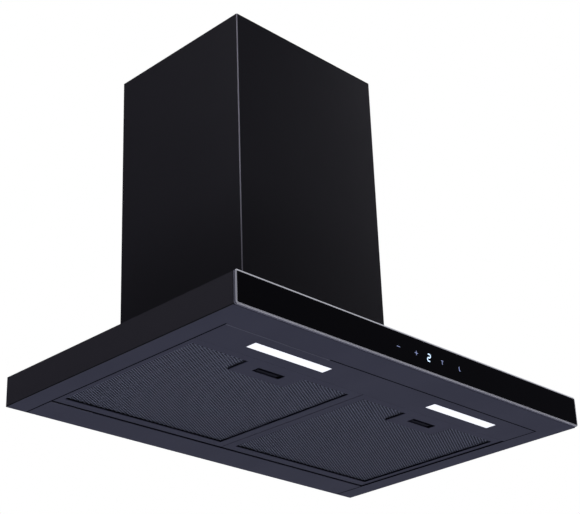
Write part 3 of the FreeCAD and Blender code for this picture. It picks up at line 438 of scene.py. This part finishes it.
def moulded(name, tone, roughness=0.45):
    """Moulded plastic with a fine spark-eroded grain."""
    finish = Finish(name)
    grain = finish.noise(1500.0, 3.0)
    cloud = finish.noise(24.0, 3.0)
    finish.drive("Base Color", finish.mix(cloud, shade(tone, 0.9), shade(tone, 1.1)))
    finish.drive("Roughness", roughness - 0.05 + grain * 0.12)
    finish.bump(grain, 0.18, 0.0004)
    return finish.material


def machined(name, tone, roughness=0.3, stretch=(1.0, 1.0, 1.0)):
    """Bare metal with fine tool lines and slight staining."""
    finish = Finish(name, Metallic=1.0)
    lines = finish.noise(900.0, 3.0, stretch)
    stain = finish.noise(60.0, 4.0)
    finish.drive("Base Color", finish.mix(stain, shade(tone, 0.78), shade(tone, 1.12)))
    finish.drive("Roughness", roughness - 0.08 + lines * 0.16 + stain * 0.06)
    finish.bump(lines, 0.15, 0.0003)
    return finish.material


def galvanised(name, tone):
    """Zinc-coated sheet with its patchwork of crystals."""
    finish = Finish(name, Metallic=1.0)
    inputs = {"Vector": finish.place, "Scale": 110.0}
    crystals = finish.node("ShaderNodeTexVoronoi", {}, inputs, output="Color")
    patch = finish.node("ShaderNodeSeparateColor", {}, {0: crystals})
    haze = finish.noise(30.0, 4.0)
    finish.drive("Base Color", finish.mix(patch * 0.6 + haze * 0.4, shade(tone, 0.72), shade(tone, 1.2)))
    finish.drive("Roughness", 0.34 + patch * 0.16)
    finish.bump(patch, 0.08, 0.0004)
    return finish.material


def dull_rubber(name, tone, shine=0.3):
    """Foam tape, strips of painted shade in the seams, or cable sheath: dull, with a slight skin texture."""
    finish = Finish(name, Specular_IOR_Level=shine)
    skin = finish.noise(700.0, 4.0)
    finish.drive("Base Color", finish.mix(skin, shade(tone, 0.8), shade(tone, 1.25)))
    finish.drive("Roughness", 0.62 + skin * 0.2)
    finish.bump(skin, 0.25, 0.0005)
    return finish.material


def circuit_board(name, tone, copper):
    """Solder mask over rows of tracks."""
    finish = Finish(name)
    x, _, z = finish.axes()
    track = ((x + z * 0.6) * 260.0).to_and_fro(0.5) > 0.36
    finish.drive("Base Color", finish.mix(track, tone, copper))
    finish.drive("Roughness", 0.32 + finish.noise(400.0) * 0.1)
    finish.bump(track, 0.2, 0.0002)
    return finish.material


def black_glass(name, tone):
    """Polished glass printed black on its back, with a few faint wiping marks."""
    finish = Finish(name, IOR=1.5, Coat_Weight=0.0)
    smear = finish.noise(9.0, 6.0, (1.0, 1.0, 3.0), 0.6)
    finish.drive("Base Color", finish.mix(smear, shade(tone, 0.7), shade(tone, 1.5)))
    finish.drive("Roughness", 0.025 + (smear - 0.55).clamped() * 0.12)
    return finish.material


def ground_glass(name, tone, arris_highlight, box, arris):
    """The pane's ground edge, with the wheel's fine lines and a polished bevel on both sides.

    The bevels carry a painted highlight and glow with a painted glint, brightest along the top.
    """
    finish = Finish(name, IOR=1.5, Emission_Strength=1.0)
    _, y, z = finish.axes()
    lines = finish.noise(420.0, 3.0, (0.05, 1.0, 1.0))
    cloud = finish.noise(90.0, 3.0)
    ground = finish.mix(lines * 0.6 + cloud * 0.4, shade(tone, 0.72), shade(tone, 1.25))
    bevel = abs(y - (box[0].y + box[1].y) / 2) > (box[1].y - box[0].y) / 2 - arris
    finish.drive("Base Color", finish.mix(bevel, ground, arris_highlight))
    faint, bright = shade(arris_highlight, FAINT_GLINT), shade(arris_highlight, TOP_GLINT)
    glint = finish.mix(z > box[1].z - GLINT_BAND * arris, faint, bright)
    # Painted glint: the bevels glow though they are no lamp.
    finish.drive("Emission Color", finish.mix(bevel, BLACK, glint))
    finish.drive("Roughness", 0.30 + lines * 0.18)
    finish.bump(lines, 0.2, 0.0002)
    return finish.material


def lit(name, tone, strength):
    """A lit mark, a little brighter in patches."""
    finish = Finish(name, Roughness=0.4, Emission_Strength=strength)
    patch = finish.noise(300.0, 2.0)
    finish.drive("Base Color", shade(tone, 0.8))
    finish.drive("Emission Color", finish.mix(patch, shade(tone, 0.82), tone))
    return finish.material


def lamp_cover(name, tone, pitch, box):
    """Frosted cover over a row of diodes: bright, with the faint glow of each diode."""
    finish = Finish(name, Roughness=0.35, Emission_Strength=1.05)
    x, y, _ = finish.axes()
    middle = (box[0] + box[1]) / 2
    along = ((x - middle.x) / pitch + 0.5).to_and_fro(0.5)
    across = abs(y - middle.y) / (box[1].y - box[0].y)
    glow = (1.0 - across * 1.3).clamped() * (0.82 + along * 0.36)
    finish.drive("Base Color", shade(tone, 0.9))
    finish.drive("Emission Color", finish.mix(glow.clamped(), shade(tone, 0.74), tone))
    return finish.material


def layered_mesh(name, tone):
    """The core of a filter: crumpled layers of fine mesh, painted dark as the shade they mostly lie in."""
    finish = Finish(name, Metallic=0.4)
    x, y, _ = finish.axes()
    one = ((x * 0.5 + y * 0.87) * 330.0).to_and_fro(0.5)
    other = ((x * 0.5 - y * 0.87) * 330.0).to_and_fro(0.5)
    web = ((one + other) - 0.55).clamped() * 2.0
    fold = finish.noise(60.0, 3.0)
    finish.drive("Base Color", finish.mix(web * 0.6 + fold * 0.3, shade(tone, 0.35), shade(tone, 1.6)))
    finish.drive("Roughness", 0.45 + fold * 0.2)
    finish.bump(web + fold, 0.5, 0.0012)
    return finish.material


def dress(finish, *names):
    """Gives a finish to nodes of the frame."""
    for name in names:
        for slot in NODES[name].material_slots:
            slot.material = finish


# ---------------------------------------------------------------- meshes


def piece(name, points, faces, finishes, which=None, smooth=False):
    """A mesh object from points and faces. `which` gives each face's finish by its number."""
    mesh = bpy.data.meshes.new(name)
    mesh.from_pydata(points, [], faces)
    for finish in finishes:
        mesh.materials.append(finish)
    if which:
        mesh.polygons.foreach_set("material_index", which)
    mesh.polygons.foreach_set("use_smooth", [smooth] * len(mesh.polygons))
    mesh.validate()
    mesh.update()
    made = bpy.data.objects.new(name, mesh)
    bpy.context.scene.collection.objects.link(made)
    return made


def slabs(name, corners, finish):
    """Plain boxes between pairs of corners, in one mesh."""
    points, faces = [], []
    for low, high in corners:
        base = len(points)
        points += [(x, y, z) for z in (low.z, high.z) for y in (low.y, high.y) for x in (low.x, high.x)]
        for quad in ((0, 2, 3, 1), (4, 5, 7, 6), (0, 1, 5, 4), (2, 6, 7, 3), (0, 4, 6, 2), (1, 3, 7, 5)):
            faces.append(tuple(base + i for i in quad))
    return piece(name, points, faces, (finish,))


def apply_modifiers(made):
    graph = bpy.context.evaluated_depsgraph_get()
    mesh = bpy.data.meshes.new_from_object(made.evaluated_get(graph))
    made.modifiers.clear()
    made.data = mesh


def rounded_loop(low, high, inset, radius, y, steps=6):
    """A loop round a pane in an XZ plane, `inset` from its outline."""
    points = []
    corner = max(radius - inset, 0.0002)
    for side_x, side_z, start in ((1, 1, 0), (-1, 1, 90), (-1, -1, 180), (1, -1, 270)):
        centre_x = (high.x if side_x > 0 else low.x) - side_x * (inset + corner)
        centre_z = (high.z if side_z > 0 else low.z) - side_z * (inset + corner)
        for i in range(steps + 1):
            turn = math.radians(start + 90.0 * i / steps)
            points.append((centre_x + corner * math.cos(turn), y, centre_z + corner * math.sin(turn)))
    return points


def glass_pane(name, low, high, radius, arris, face, edge):
    """A pane with rounded corners and ground, bevelled edges. `arris` is a bevel's width and its depth."""
    bevel = ((1.0, 0.0), (0.55, 0.12), (0.12, 0.55), (0.0, 1.0))
    rings = [(arris[0] * inset, low.y + arris[1] * depth) for inset, depth in bevel]
    rings += [(arris[0] * inset, high.y - arris[1] * depth) for inset, depth in reversed(bevel)]
    loops = [rounded_loop(low, high, inset, radius, y) for inset, y in rings]
    count = len(loops[0])
    points = [p for loop in loops for p in loop]
    faces = [tuple(range(count)), tuple(reversed(range((len(rings) - 1) * count, len(rings) * count)))]
    which = [0, 0]
    for ring in range(len(rings) - 1):
        for i in range(count):
            j = (i + 1) % count
            a, b = ring * count, (ring + 1) * count
            faces.append((a + i, b + i, b + j, a + j))
            which.append(1)
    return piece(name, points, faces, (face, edge), which)


def bar(start, end, width, pointed=0.0):
    """The outline of a straight stroke between two points of a plane, with blunt or pointed ends."""
    along = (end - start).normalized()
    across = Vector((-along.y, along.x)) * width / 2
    nose = along * pointed
    outline = [start - nose, start - across, end - across, end + nose, end + across, start + across]
    return outline if pointed else outline[1:3] + outline[4:]


def ring_strokes(centre, radius, width, start=0.0, end=360.0, steps=20):
    """The outlines of short strokes that follow an arc."""
    strokes = []
    for i in range(steps):
        angles = [math.radians(start + (end - start) * (i + k) / steps) for k in (0, 1)]
        inner = [centre + Vector((math.cos(a), math.sin(a))) * (radius - width / 2) for a in angles]
        outer = [centre + Vector((math.cos(a), math.sin(a))) * (radius + width / 2) for a in angles]
        strokes.append([inner[0], outer[0], outer[1], inner[1]])
    return strokes


def raised_mark(name, outlines, centre, thickness, finish):
    """Flat strokes that stand a little proud of the glass. Outlines are in X and Z, about `centre`."""
    points, faces = [], []
    for outline in outlines:
        base = len(points)
        count = len(outline)
        for y in (centre.y, centre.y - thickness):
            points += [(centre.x + p.x, y, centre.z + p.y) for p in outline]
        faces.append(tuple(base + count + i for i in range(count)))
        faces.append(tuple(base + i for i in reversed(range(count))))
        for i in range(count):
            j = (i + 1) % count
            faces.append((base + i, base + j, base + count + j, base + count + i))
    return piece(name, points, faces, (finish,))


def digit_two(height, width, stroke):
    """The five lit segments of a 2, leaning slightly, as outlines."""
    reach, rise = (width - stroke) / 2, (height - stroke) / 2
    gap = stroke * 0.55
    lean = 0.10
    segments = (
        ((-reach + gap, rise), (reach - gap, rise)),
        ((reach, rise - gap), (reach, gap)),
        ((-reach + gap, 0.0), (reach - gap, 0.0)),
        ((-reach, -gap), (-reach, -rise + gap)),
        ((-reach + gap, -rise), (reach - gap, -rise)),
    )
    outlines = [bar(Vector(a), Vector(b), stroke, stroke * 0.45) for a, b in segments]
    return [[Vector((p.x + p.y * lean, p.y)) for p in outline] for outline in outlines]


def coil_spring(name, low, high, sizes, finish):
    """A round-wire spring that fills the space between two corners, with its axis along Y."""
    wire, turns = sizes.spring_wire, sizes.spring_turns
    around = WIRE_SIDES
    steps = turns * WIRE_STEPS_PER_TURN
    middle = (low + high) / 2
    radius = (high.x - low.x) / 2 - wire
    points, faces = [], []
    for i in range(steps + 1):
        turn = 2 * math.pi * i / WIRE_STEPS_PER_TURN
        out = Vector((math.cos(turn), 0, math.sin(turn)))
        centre = middle + radius * out
        centre.y = low.y + wire + (high.y - low.y - 2 * wire) * i / steps
        for k in range(around):
            swing = 2 * math.pi * k / around
            points.append(centre + wire * (math.cos(swing) * out + math.sin(swing) * Vector((0, 1, 0))))
    for i in range(steps):
        for k in range(around):
            near, following = i * around + k, i * around + (k + 1) % around
            faces.append((near, following, following + around, near + around))
    faces.append(tuple(reversed(range(around))))
    faces.append(tuple(steps * around + k for k in range(around)))
    return piece(name, points, faces, (finish,), smooth=True)


def expanded_sheet(name, low, high, z, sizes, scale, finish, gap=None):
    """Expanded metal: rows of diamonds between tilted strands, trimmed to a rectangle round a gap."""
    half_long, half_short = sizes.mesh_long * scale, sizes.mesh_short * scale
    tilt = sizes.mesh_tilt * scale
    hole = sizes.mesh_open
    points, faces, known = [], [], {}

    def corner(x, y, height):
        x = min(max(x, low.x), high.x)
        y = min(max(y, low.y), high.y)
        key = (round(x, 6), round(y, 6), round(height, 7))
        if key not in known:
            known[key] = len(points)
            points.append((x, y, height))
        return known[key]

    rows = int((high.y - low.y) / half_short) + 1
    columns = int((high.x - low.x) / (2 * half_long)) + 1
    for row in range(rows + 1):
        y = low.y + row * half_short
        for column in range(columns + 1):
            x = low.x + (2 * column + row % 2) * half_long
            if x > high.x + half_long * 0.5 or y > high.y + half_short * 0.5:
                continue
            if gap and gap[0].x < x < gap[1].x and y < gap[1].y:
                continue
            around = (
                (half_long, 0.0, 0.0), (0.0, half_short, -tilt),
                (-half_long, 0.0, 0.0), (0.0, -half_short, tilt),
            )
            outer = [corner(x + a, y + b, z) for a, b, _ in around]
            inner = [corner(x + a * hole, y + b * hole, z + c) for a, b, c in around]
            for i in range(4):
                j = (i + 1) % 4
                quad = (outer[i], outer[j], inner[j], inner[i])
                if len(set(quad)) == 4:
                    faces.append(quad)
    sheet = piece(name, points, faces, (finish,))
    solid = sheet.modifiers.new("gauge", "SOLIDIFY")
    solid.thickness = sizes.mesh_gauge
    solid.offset = 0.0
    apply_modifiers(sheet)
    return sheet


# ---------------------------------------------------------------- operators


class StageOperator(bpy.types.Operator):
    """Adds the camera, the floor, the backdrop and the lights"""

    bl_idname = "hood.stage"
    bl_label = "Stage"

    def execute(self, context):
        studio = context.scene.hood_studio
        self.add_camera(context, studio)
        self.add_floor(studio)
        self.add_world(context, studio)
        self.add_lights(context, studio)
        context.scene.view_settings.view_transform = "Standard"
        return {"FINISHED"}

    @staticmethod
    def add_camera(context, studio):
        camera = bpy.data.cameras.new("camera")
        camera.lens = studio.lens
        camera.shift_x, camera.shift_y = studio.camera_shift
        camera.clip_start = 0.05
        camera.clip_end = 100.0
        seat = bpy.data.objects.new("camera", camera)
        seat.location = studio.camera_place
        seat.rotation_euler = Euler(studio.camera_turn)
        context.scene.collection.objects.link(seat)
        context.scene.camera = seat

    @staticmethod
    def add_floor(studio):
        half = studio.floor_size / 2
        z = studio.floor_height
        finish = Finish("floor", Roughness=0.8, Emission_Strength=1.0)
        seen = finish.node("ShaderNodeLightPath", output="Is Camera Ray")
        finish.drive("Emission Color", finish.mix(seen, BLACK, studio.floor_tone))
        finish.drive("Base Color", finish.mix(finish.noise(1.5, 3.0), (0.78, 0.78, 0.79), (0.82, 0.82, 0.83)))
        corners = [(-half, -half, z), (half, -half, z), (half, half, z), (-half, half, z)]
        piece("floor", corners, [(0, 1, 2, 3)], (finish.material,))

    @staticmethod
    def add_world(context, studio):
        world = bpy.data.worlds.new("studio")
        world.use_nodes = True
        context.scene.world = world
        sky = Shading(world.node_tree)
        towards = sky.node("ShaderNodeTexCoord", output="Generated")
        light = studio.room
        glows = ((studio.low_glow, studio.low_from), (studio.rear_glow, studio.rear_from))
        for tone, source in glows:
            settings = {"operation": "DOT_PRODUCT"}
            facing = sky.node("ShaderNodeVectorMath", settings, {0: towards, 1: source}, output="Value")
            light = sky.add(light, sky.mix(facing.ramped(GLOW_EDGE, GLOW_CORE), BLACK, tone))
        seen = sky.node("ShaderNodeLightPath", output="Is Camera Ray")
        sky.feed(sky.tree.nodes["Background"].inputs["Color"], sky.mix(seen, light, studio.backdrop))

    @staticmethod
    def add_lights(context, studio):
        target = Vector((0.0, -0.2, 0.3))
        lights = (
            ("strip", studio.strip_power, (0.62, -0.44, 0.60), (0.1, 1.0)),
            ("high", studio.high_power, (-1.1, -0.15, 1.0), (0.4, 0.4)),
            ("back", studio.back_power, (1.4, 1.8, 1.6), (1.2, 1.2)),
            ("top", studio.top_power, (0.3, -0.2, 2.4), (1.0, 1.0)),
        )
        for name, power, place, size in lights:
            light = bpy.data.lights.new(name, "AREA")
            light.shape = "RECTANGLE"
            light.energy = power
            light.size, light.size_y = size
            light.color = studio.lamp_tint
            holder = bpy.data.objects.new(name, light)
            holder.location = place
            holder.rotation_euler = (target - Vector(place)).to_track_quat("-Z", "Y").to_euler()
            holder.visible_camera = False
            context.scene.collection.objects.link(holder)


class SheetMetalOperator(bpy.types.Operator):
    """Finishes the canopy, the chimney and the blower box"""

    bl_idname = "hood.sheet_metal"
    bl_label = "Sheet metal"

    def execute(self, context):
        finishes = context.scene.hood_finishes
        gloss = finishes.paint_roughness
        sizes = context.scene.hood_sizes
        chimney = chimney_tone(finishes.paint, finishes.bend_highlight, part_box("lower_chimney"), sizes.bend_highlight_width)
        paint = powder_coat("satin_black", gloss, chimney)
        canopy = canopy_tone(finishes.paint, finishes.side_lit_paint, finishes.underside)
        dress(paint, "lower_chimney", "upper_chimney")
        dress(powder_coat("satin_canopy", gloss, canopy), "canopy_shell")
        for name, reach in (("lamp_panel", sizes.lamp_panel_highlight_end), ("rear_panel", sizes.rear_panel_highlight_end)):
            tone = edge_highlight_tone(finishes.underside, finishes.highlit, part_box(name), sizes.highlit_edge, reach)
            dress(powder_coat("satin_" + name, gloss, tone), name)
        self.add_shade_fillers(sizes, finishes)
        dress(
            galvanised("galvanised_sheet", finishes.zinc),
            "motor_box", "hanging_plate", "box_lid", "chimney_bracket", "motor_bracket",
        )
        dress(
            machined("zinc_screws", (0.62, 0.62, 0.60), 0.28),
            "lamp_panel_screws", "lamp_tray_nuts", "blower_box_screws", "chimney_screws", "bracket_screws",
        )
        return {"FINISHED"}

    @staticmethod
    def add_shade_fillers(sizes, finishes):
        """Near-black strips of painted shade in the seams at both sides and along the right part of the lamp
        panel's front.
        """
        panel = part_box("lamp_panel")
        width, lap = sizes.shade_filler_width, sizes.shade_filler_lap
        low_z, high_z = panel[0].z - sizes.shade_filler_proud, panel[0].z + sizes.shade_filler_depth
        inner, outer = panel[1].x - lap, panel[1].x - lap + width
        front, rear = panel[0].y + lap - width, CAD_BOX[1].y
        strips = [
            (Vector((-outer, front, low_z)), Vector((-inner, rear, high_z))),
            (Vector((inner, front, low_z)), Vector((outer, rear, high_z))),
            (Vector((sizes.lamp_panel_highlight_end, front, low_z)), Vector((inner, front + width, high_z))),
        ]
        finish = dull_rubber("black_shade_filler", finishes.shade_filler, 0.05)
        shade_filler = slabs("seam_shade_strips", strips, finish)
        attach(shade_filler, "hood")


class FrontGlassOperator(bpy.types.Operator):
    """Adds the front glass with its ground edges"""

    bl_idname = "hood.front_glass"
    bl_label = "Front glass"

    def execute(self, context):
        sizes, finishes = context.scene.hood_sizes, context.scene.hood_finishes
        low, high = GLASS_BOX[0], GLASS_BOX[1] + Vector((0.0, 0.0, sizes.glass_rise))
        edge = ground_glass(
            "ground_edge", finishes.ground_edge, finishes.arris, (low, high), sizes.arris_depth
        )
        face = black_glass("black_glass", finishes.glass)
        arris = (sizes.arris_width, sizes.arris_depth)
        pane = glass_pane("glass_pane", low, high, sizes.glass_corner, arris, face, edge)
        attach(pane, "hood")
        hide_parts("front_glass")
        dress(dull_rubber("bonding_foam", (0.02, 0.02, 0.02)), "glass_pads", "touch_pads")
        return {"FINISHED"}


class ControlMarksOperator(bpy.types.Operator):
    """Adds the lit marks and the digit on the glass, and finishes the parts behind it"""

    bl_idname = "hood.control_marks"
    bl_label = "Control marks"

    def execute(self, context):
        sizes, finishes = context.scene.hood_sizes, context.scene.hood_finishes
        middle = (DISPLAY_BOX[0] + DISPLAY_BOX[1]) / 2
        front = Vector((middle.x, GLASS_BOX[0].y, middle.z))
        dim = lit("lit_mark", finishes.mark, 0.75)
        bright = lit("lit_digit", finishes.digit, 1.5)
        half, stroke = sizes.mark_height / 2, sizes.mark_stroke
        level = bar(Vector((-half, 0.0)), Vector((half, 0.0)), stroke)
        upright = bar(Vector((0.0, -half)), Vector((0.0, half)), stroke)
        marks = {
            "mark_minus": (sizes.minus_place, [level]),
            "mark_plus": (sizes.plus_place, [level, upright]),
            "mark_timer": (sizes.timer_place, self.timer(half, stroke)),
            "mark_lamp": (sizes.lamp_place, self.lamp(half, stroke)),
        }
        for name, (offset, outlines) in marks.items():
            self.place(name, outlines, front + Vector((offset, 0.0, 0.0)), sizes.mark_thickness, dim)
        digit = digit_two(sizes.digit_height, sizes.digit_width, sizes.digit_stroke)
        self.place("mark_digit", digit, front, sizes.mark_thickness, bright)
        dress(moulded("black_moulding", (0.02, 0.02, 0.021)), "control_housing", "digit_display")
        dress(circuit_board("green_board", (0.012, 0.075, 0.035), (0.03, 0.15, 0.06)), "touch_board")
        return {"FINISHED"}

    @staticmethod
    def timer(half, stroke):
        """A small sand-glass seen end on: a cap on a narrow stem."""
        return [
            bar(Vector((-half * 0.75, half * 0.85)), Vector((half * 0.75, half * 0.85)), stroke),
            bar(Vector((0.0, half * 0.7)), Vector((0.0, -half)), stroke * 1.2),
        ]

    @staticmethod
    def lamp(half, stroke):
        """A small lamp on a bracket: a stem, a foot and half a shade."""
        shade_arc = ring_strokes(Vector((0.0, half * 0.45)), half * 0.5, stroke, 90.0, 250.0)
        return shade_arc + [
            bar(Vector((-half * 0.2, half * 0.3)), Vector((-half * 0.2, -half)), stroke),
            bar(Vector((-half * 0.2, -half * 0.85)), Vector((half * 0.55, -half * 0.85)), stroke),
        ]

    @staticmethod
    def place(name, outlines, centre, thickness, finish):
        mark = raised_mark(name, outlines, centre, thickness, finish)
        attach(mark, "hood")


class LampsOperator(bpy.types.Operator):
    """Finishes the two strip lamps"""

    bl_idname = "hood.lamps"
    bl_label = "Lamps"

    diode_pitch: FloatProperty(name="Diode pitch", description="Distance between diodes", default=0.016)

    def execute(self, context):
        tone = context.scene.hood_finishes.lamp
        board = machined("lamp_board", (0.8, 0.8, 0.78), 0.4)
        tray = moulded("white_moulding", (0.75, 0.75, 0.74))
        for side in SIDES:
            lens = "lamp_lens_" + side
            dress(lamp_cover("lamp_cover_" + side, tone, self.diode_pitch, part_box(lens)), lens)
            dress(board, "led_strip_" + side)
            dress(tray, "lamp_tray_" + side)
        return {"FINISHED"}


class FiltersOperator(bpy.types.Operator):
    """Adds the expanded mesh of both filters and finishes their frames and latches"""

    bl_idname = "hood.filters"
    bl_label = "Filters"

    def execute(self, context):
        sizes, finishes = context.scene.hood_sizes, context.scene.hood_finishes
        roughness = finishes.paint_roughness
        mesh = powder_coat("mesh_coat", roughness, lambda finish: finishes.mesh)
        frame_coat = powder_coat("filter_coat", roughness, downward_tone(finishes.frame, FILTER_LEVEL))
        # A darker copy of the mesh coat: painted shade on the inner mesh.
        shaded_inner_mesh = powder_coat("shaded_inner_mesh_coat", roughness, lambda finish: finishes.shaded_inner_mesh)
        tab = powder_coat("latch_coat", roughness, lambda finish: finishes.tab, 0.08)
        core = layered_mesh("filter_layers", finishes.core)
        spring = machined("spring_wire", (0.6, 0.6, 0.62), 0.25)
        for side in SIDES:
            self.add_mesh(side, sizes, mesh, shaded_inner_mesh)
            dress(core, "filter_core_" + side)
            dress(frame_coat, "filter_frame_" + side, "latch_pad_" + side)
            dress(tab, "latch_slider_" + side)
            self.add_spring(side, sizes, spring)
        return {"FINISHED"}

    @staticmethod
    def add_mesh(side, sizes, finish, inner_finish):
        low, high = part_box("filter_mesh_" + side)
        below, above = low.z + MESH_SEAT, high.z - MESH_SEAT
        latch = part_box("latch_pad_" + side)
        outer = expanded_sheet("mesh_outer_" + side, low, high, below, sizes, 1.0, finish, latch)
        inner = expanded_sheet(
            "mesh_inner_" + side, low, high, above, sizes, sizes.coarse_mesh, inner_finish
        )
        for sheet in (outer, inner):
            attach(sheet, "filter_" + side)
            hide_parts("filter_mesh_" + side)

    @staticmethod
    def add_spring(side, sizes, finish):
        """The latch's return spring, in place of the frame's spring."""
        low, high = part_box("latch_spring_" + side)
        spring = coil_spring("return_spring_" + side, low, high, sizes, finish)
        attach(spring, "filter_" + side)
        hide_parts("latch_spring_" + side)
        rear = (low + high) / 2
        rear.y = high.y
        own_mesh(spring)


class BlowerOperator(bpy.types.Operator):
    """Finishes the blower, the outlet and the electrical parts"""

    bl_idname = "hood.blower"
    bl_label = "Blower"

    def execute(self, context):
        dress(
            moulded("scroll_moulding", (0.035, 0.036, 0.04)),
            "scroll_housing", "scroll_side_left", "scroll_side_right",
        )
        dress(moulded("wheel_moulding", (0.07, 0.075, 0.085)), "impeller_wheel")
        dress(moulded("collar_moulding", (0.016, 0.016, 0.017)), "outlet_collar", "cable_gland")
        dress(moulded("flap_moulding", (0.05, 0.05, 0.055), 0.4), "damper_flap_front", "damper_flap_rear")
        dress(moulded("box_moulding", (0.022, 0.022, 0.024)), "power_box", "power_box_lid")
        dress(moulded("capacitor_case", (0.6, 0.6, 0.57)), "run_capacitor")
        dress(
            machined("turned_steel", (0.56, 0.57, 0.58), 0.25),
            "motor_shaft", "motor_rotor", "flap_spindle",
        )
        dress(machined("cast_aluminium", (0.5, 0.51, 0.52), 0.42), "motor_body", "motor_caps", "impeller_hub")
        dress(machined("bronze_bush", (0.6, 0.4, 0.2), 0.35), "motor_bushes")
        dress(
            dull_rubber("cable_sheath", (0.018, 0.018, 0.018)),
            "control_lead", "lamp_leads", "motor_lead",
        )
        return {"FINISHED"}


class HoodPanel(bpy.types.Panel):
    """Lists the steps that build the hood"""

    bl_idname = "HOOD_PT_steps"
    bl_label = "Range hood"
    bl_space_type = "VIEW_3D"
    bl_region_type = "UI"
    bl_category = "Hood"

    def draw(self, context):
        for step in STEPS:
            self.layout.operator(step.bl_idname)


STEPS = (
    StageOperator,
    SheetMetalOperator,
    FrontGlassOperator,
    ControlMarksOperator,
    LampsOperator,
    FiltersOperator,
    BlowerOperator,
)
GROUPS = {"hood_sizes": HoodSizes, "hood_finishes": HoodFinishes, "hood_studio": HoodStudio}


def register():
    for item in (*GROUPS.values(), *STEPS, HoodPanel):
        bpy.utils.register_class(item)
    for name, group in GROUPS.items():
        setattr(bpy.types.Scene, name, PointerProperty(type=group))


def unregister():
    for name in GROUPS:
        delattr(bpy.types.Scene, name)
    for item in reversed((*GROUPS.values(), *STEPS, HoodPanel)):
        bpy.utils.unregister_class(item)


def main():
    register()
    bpy.ops.hood.stage()
    bpy.ops.hood.sheet_metal()
    bpy.ops.hood.front_glass()
    bpy.ops.hood.control_marks()
    bpy.ops.hood.lamps()
    bpy.ops.hood.filters()
    bpy.ops.hood.blower()


if __name__ == "__main__":
    main()
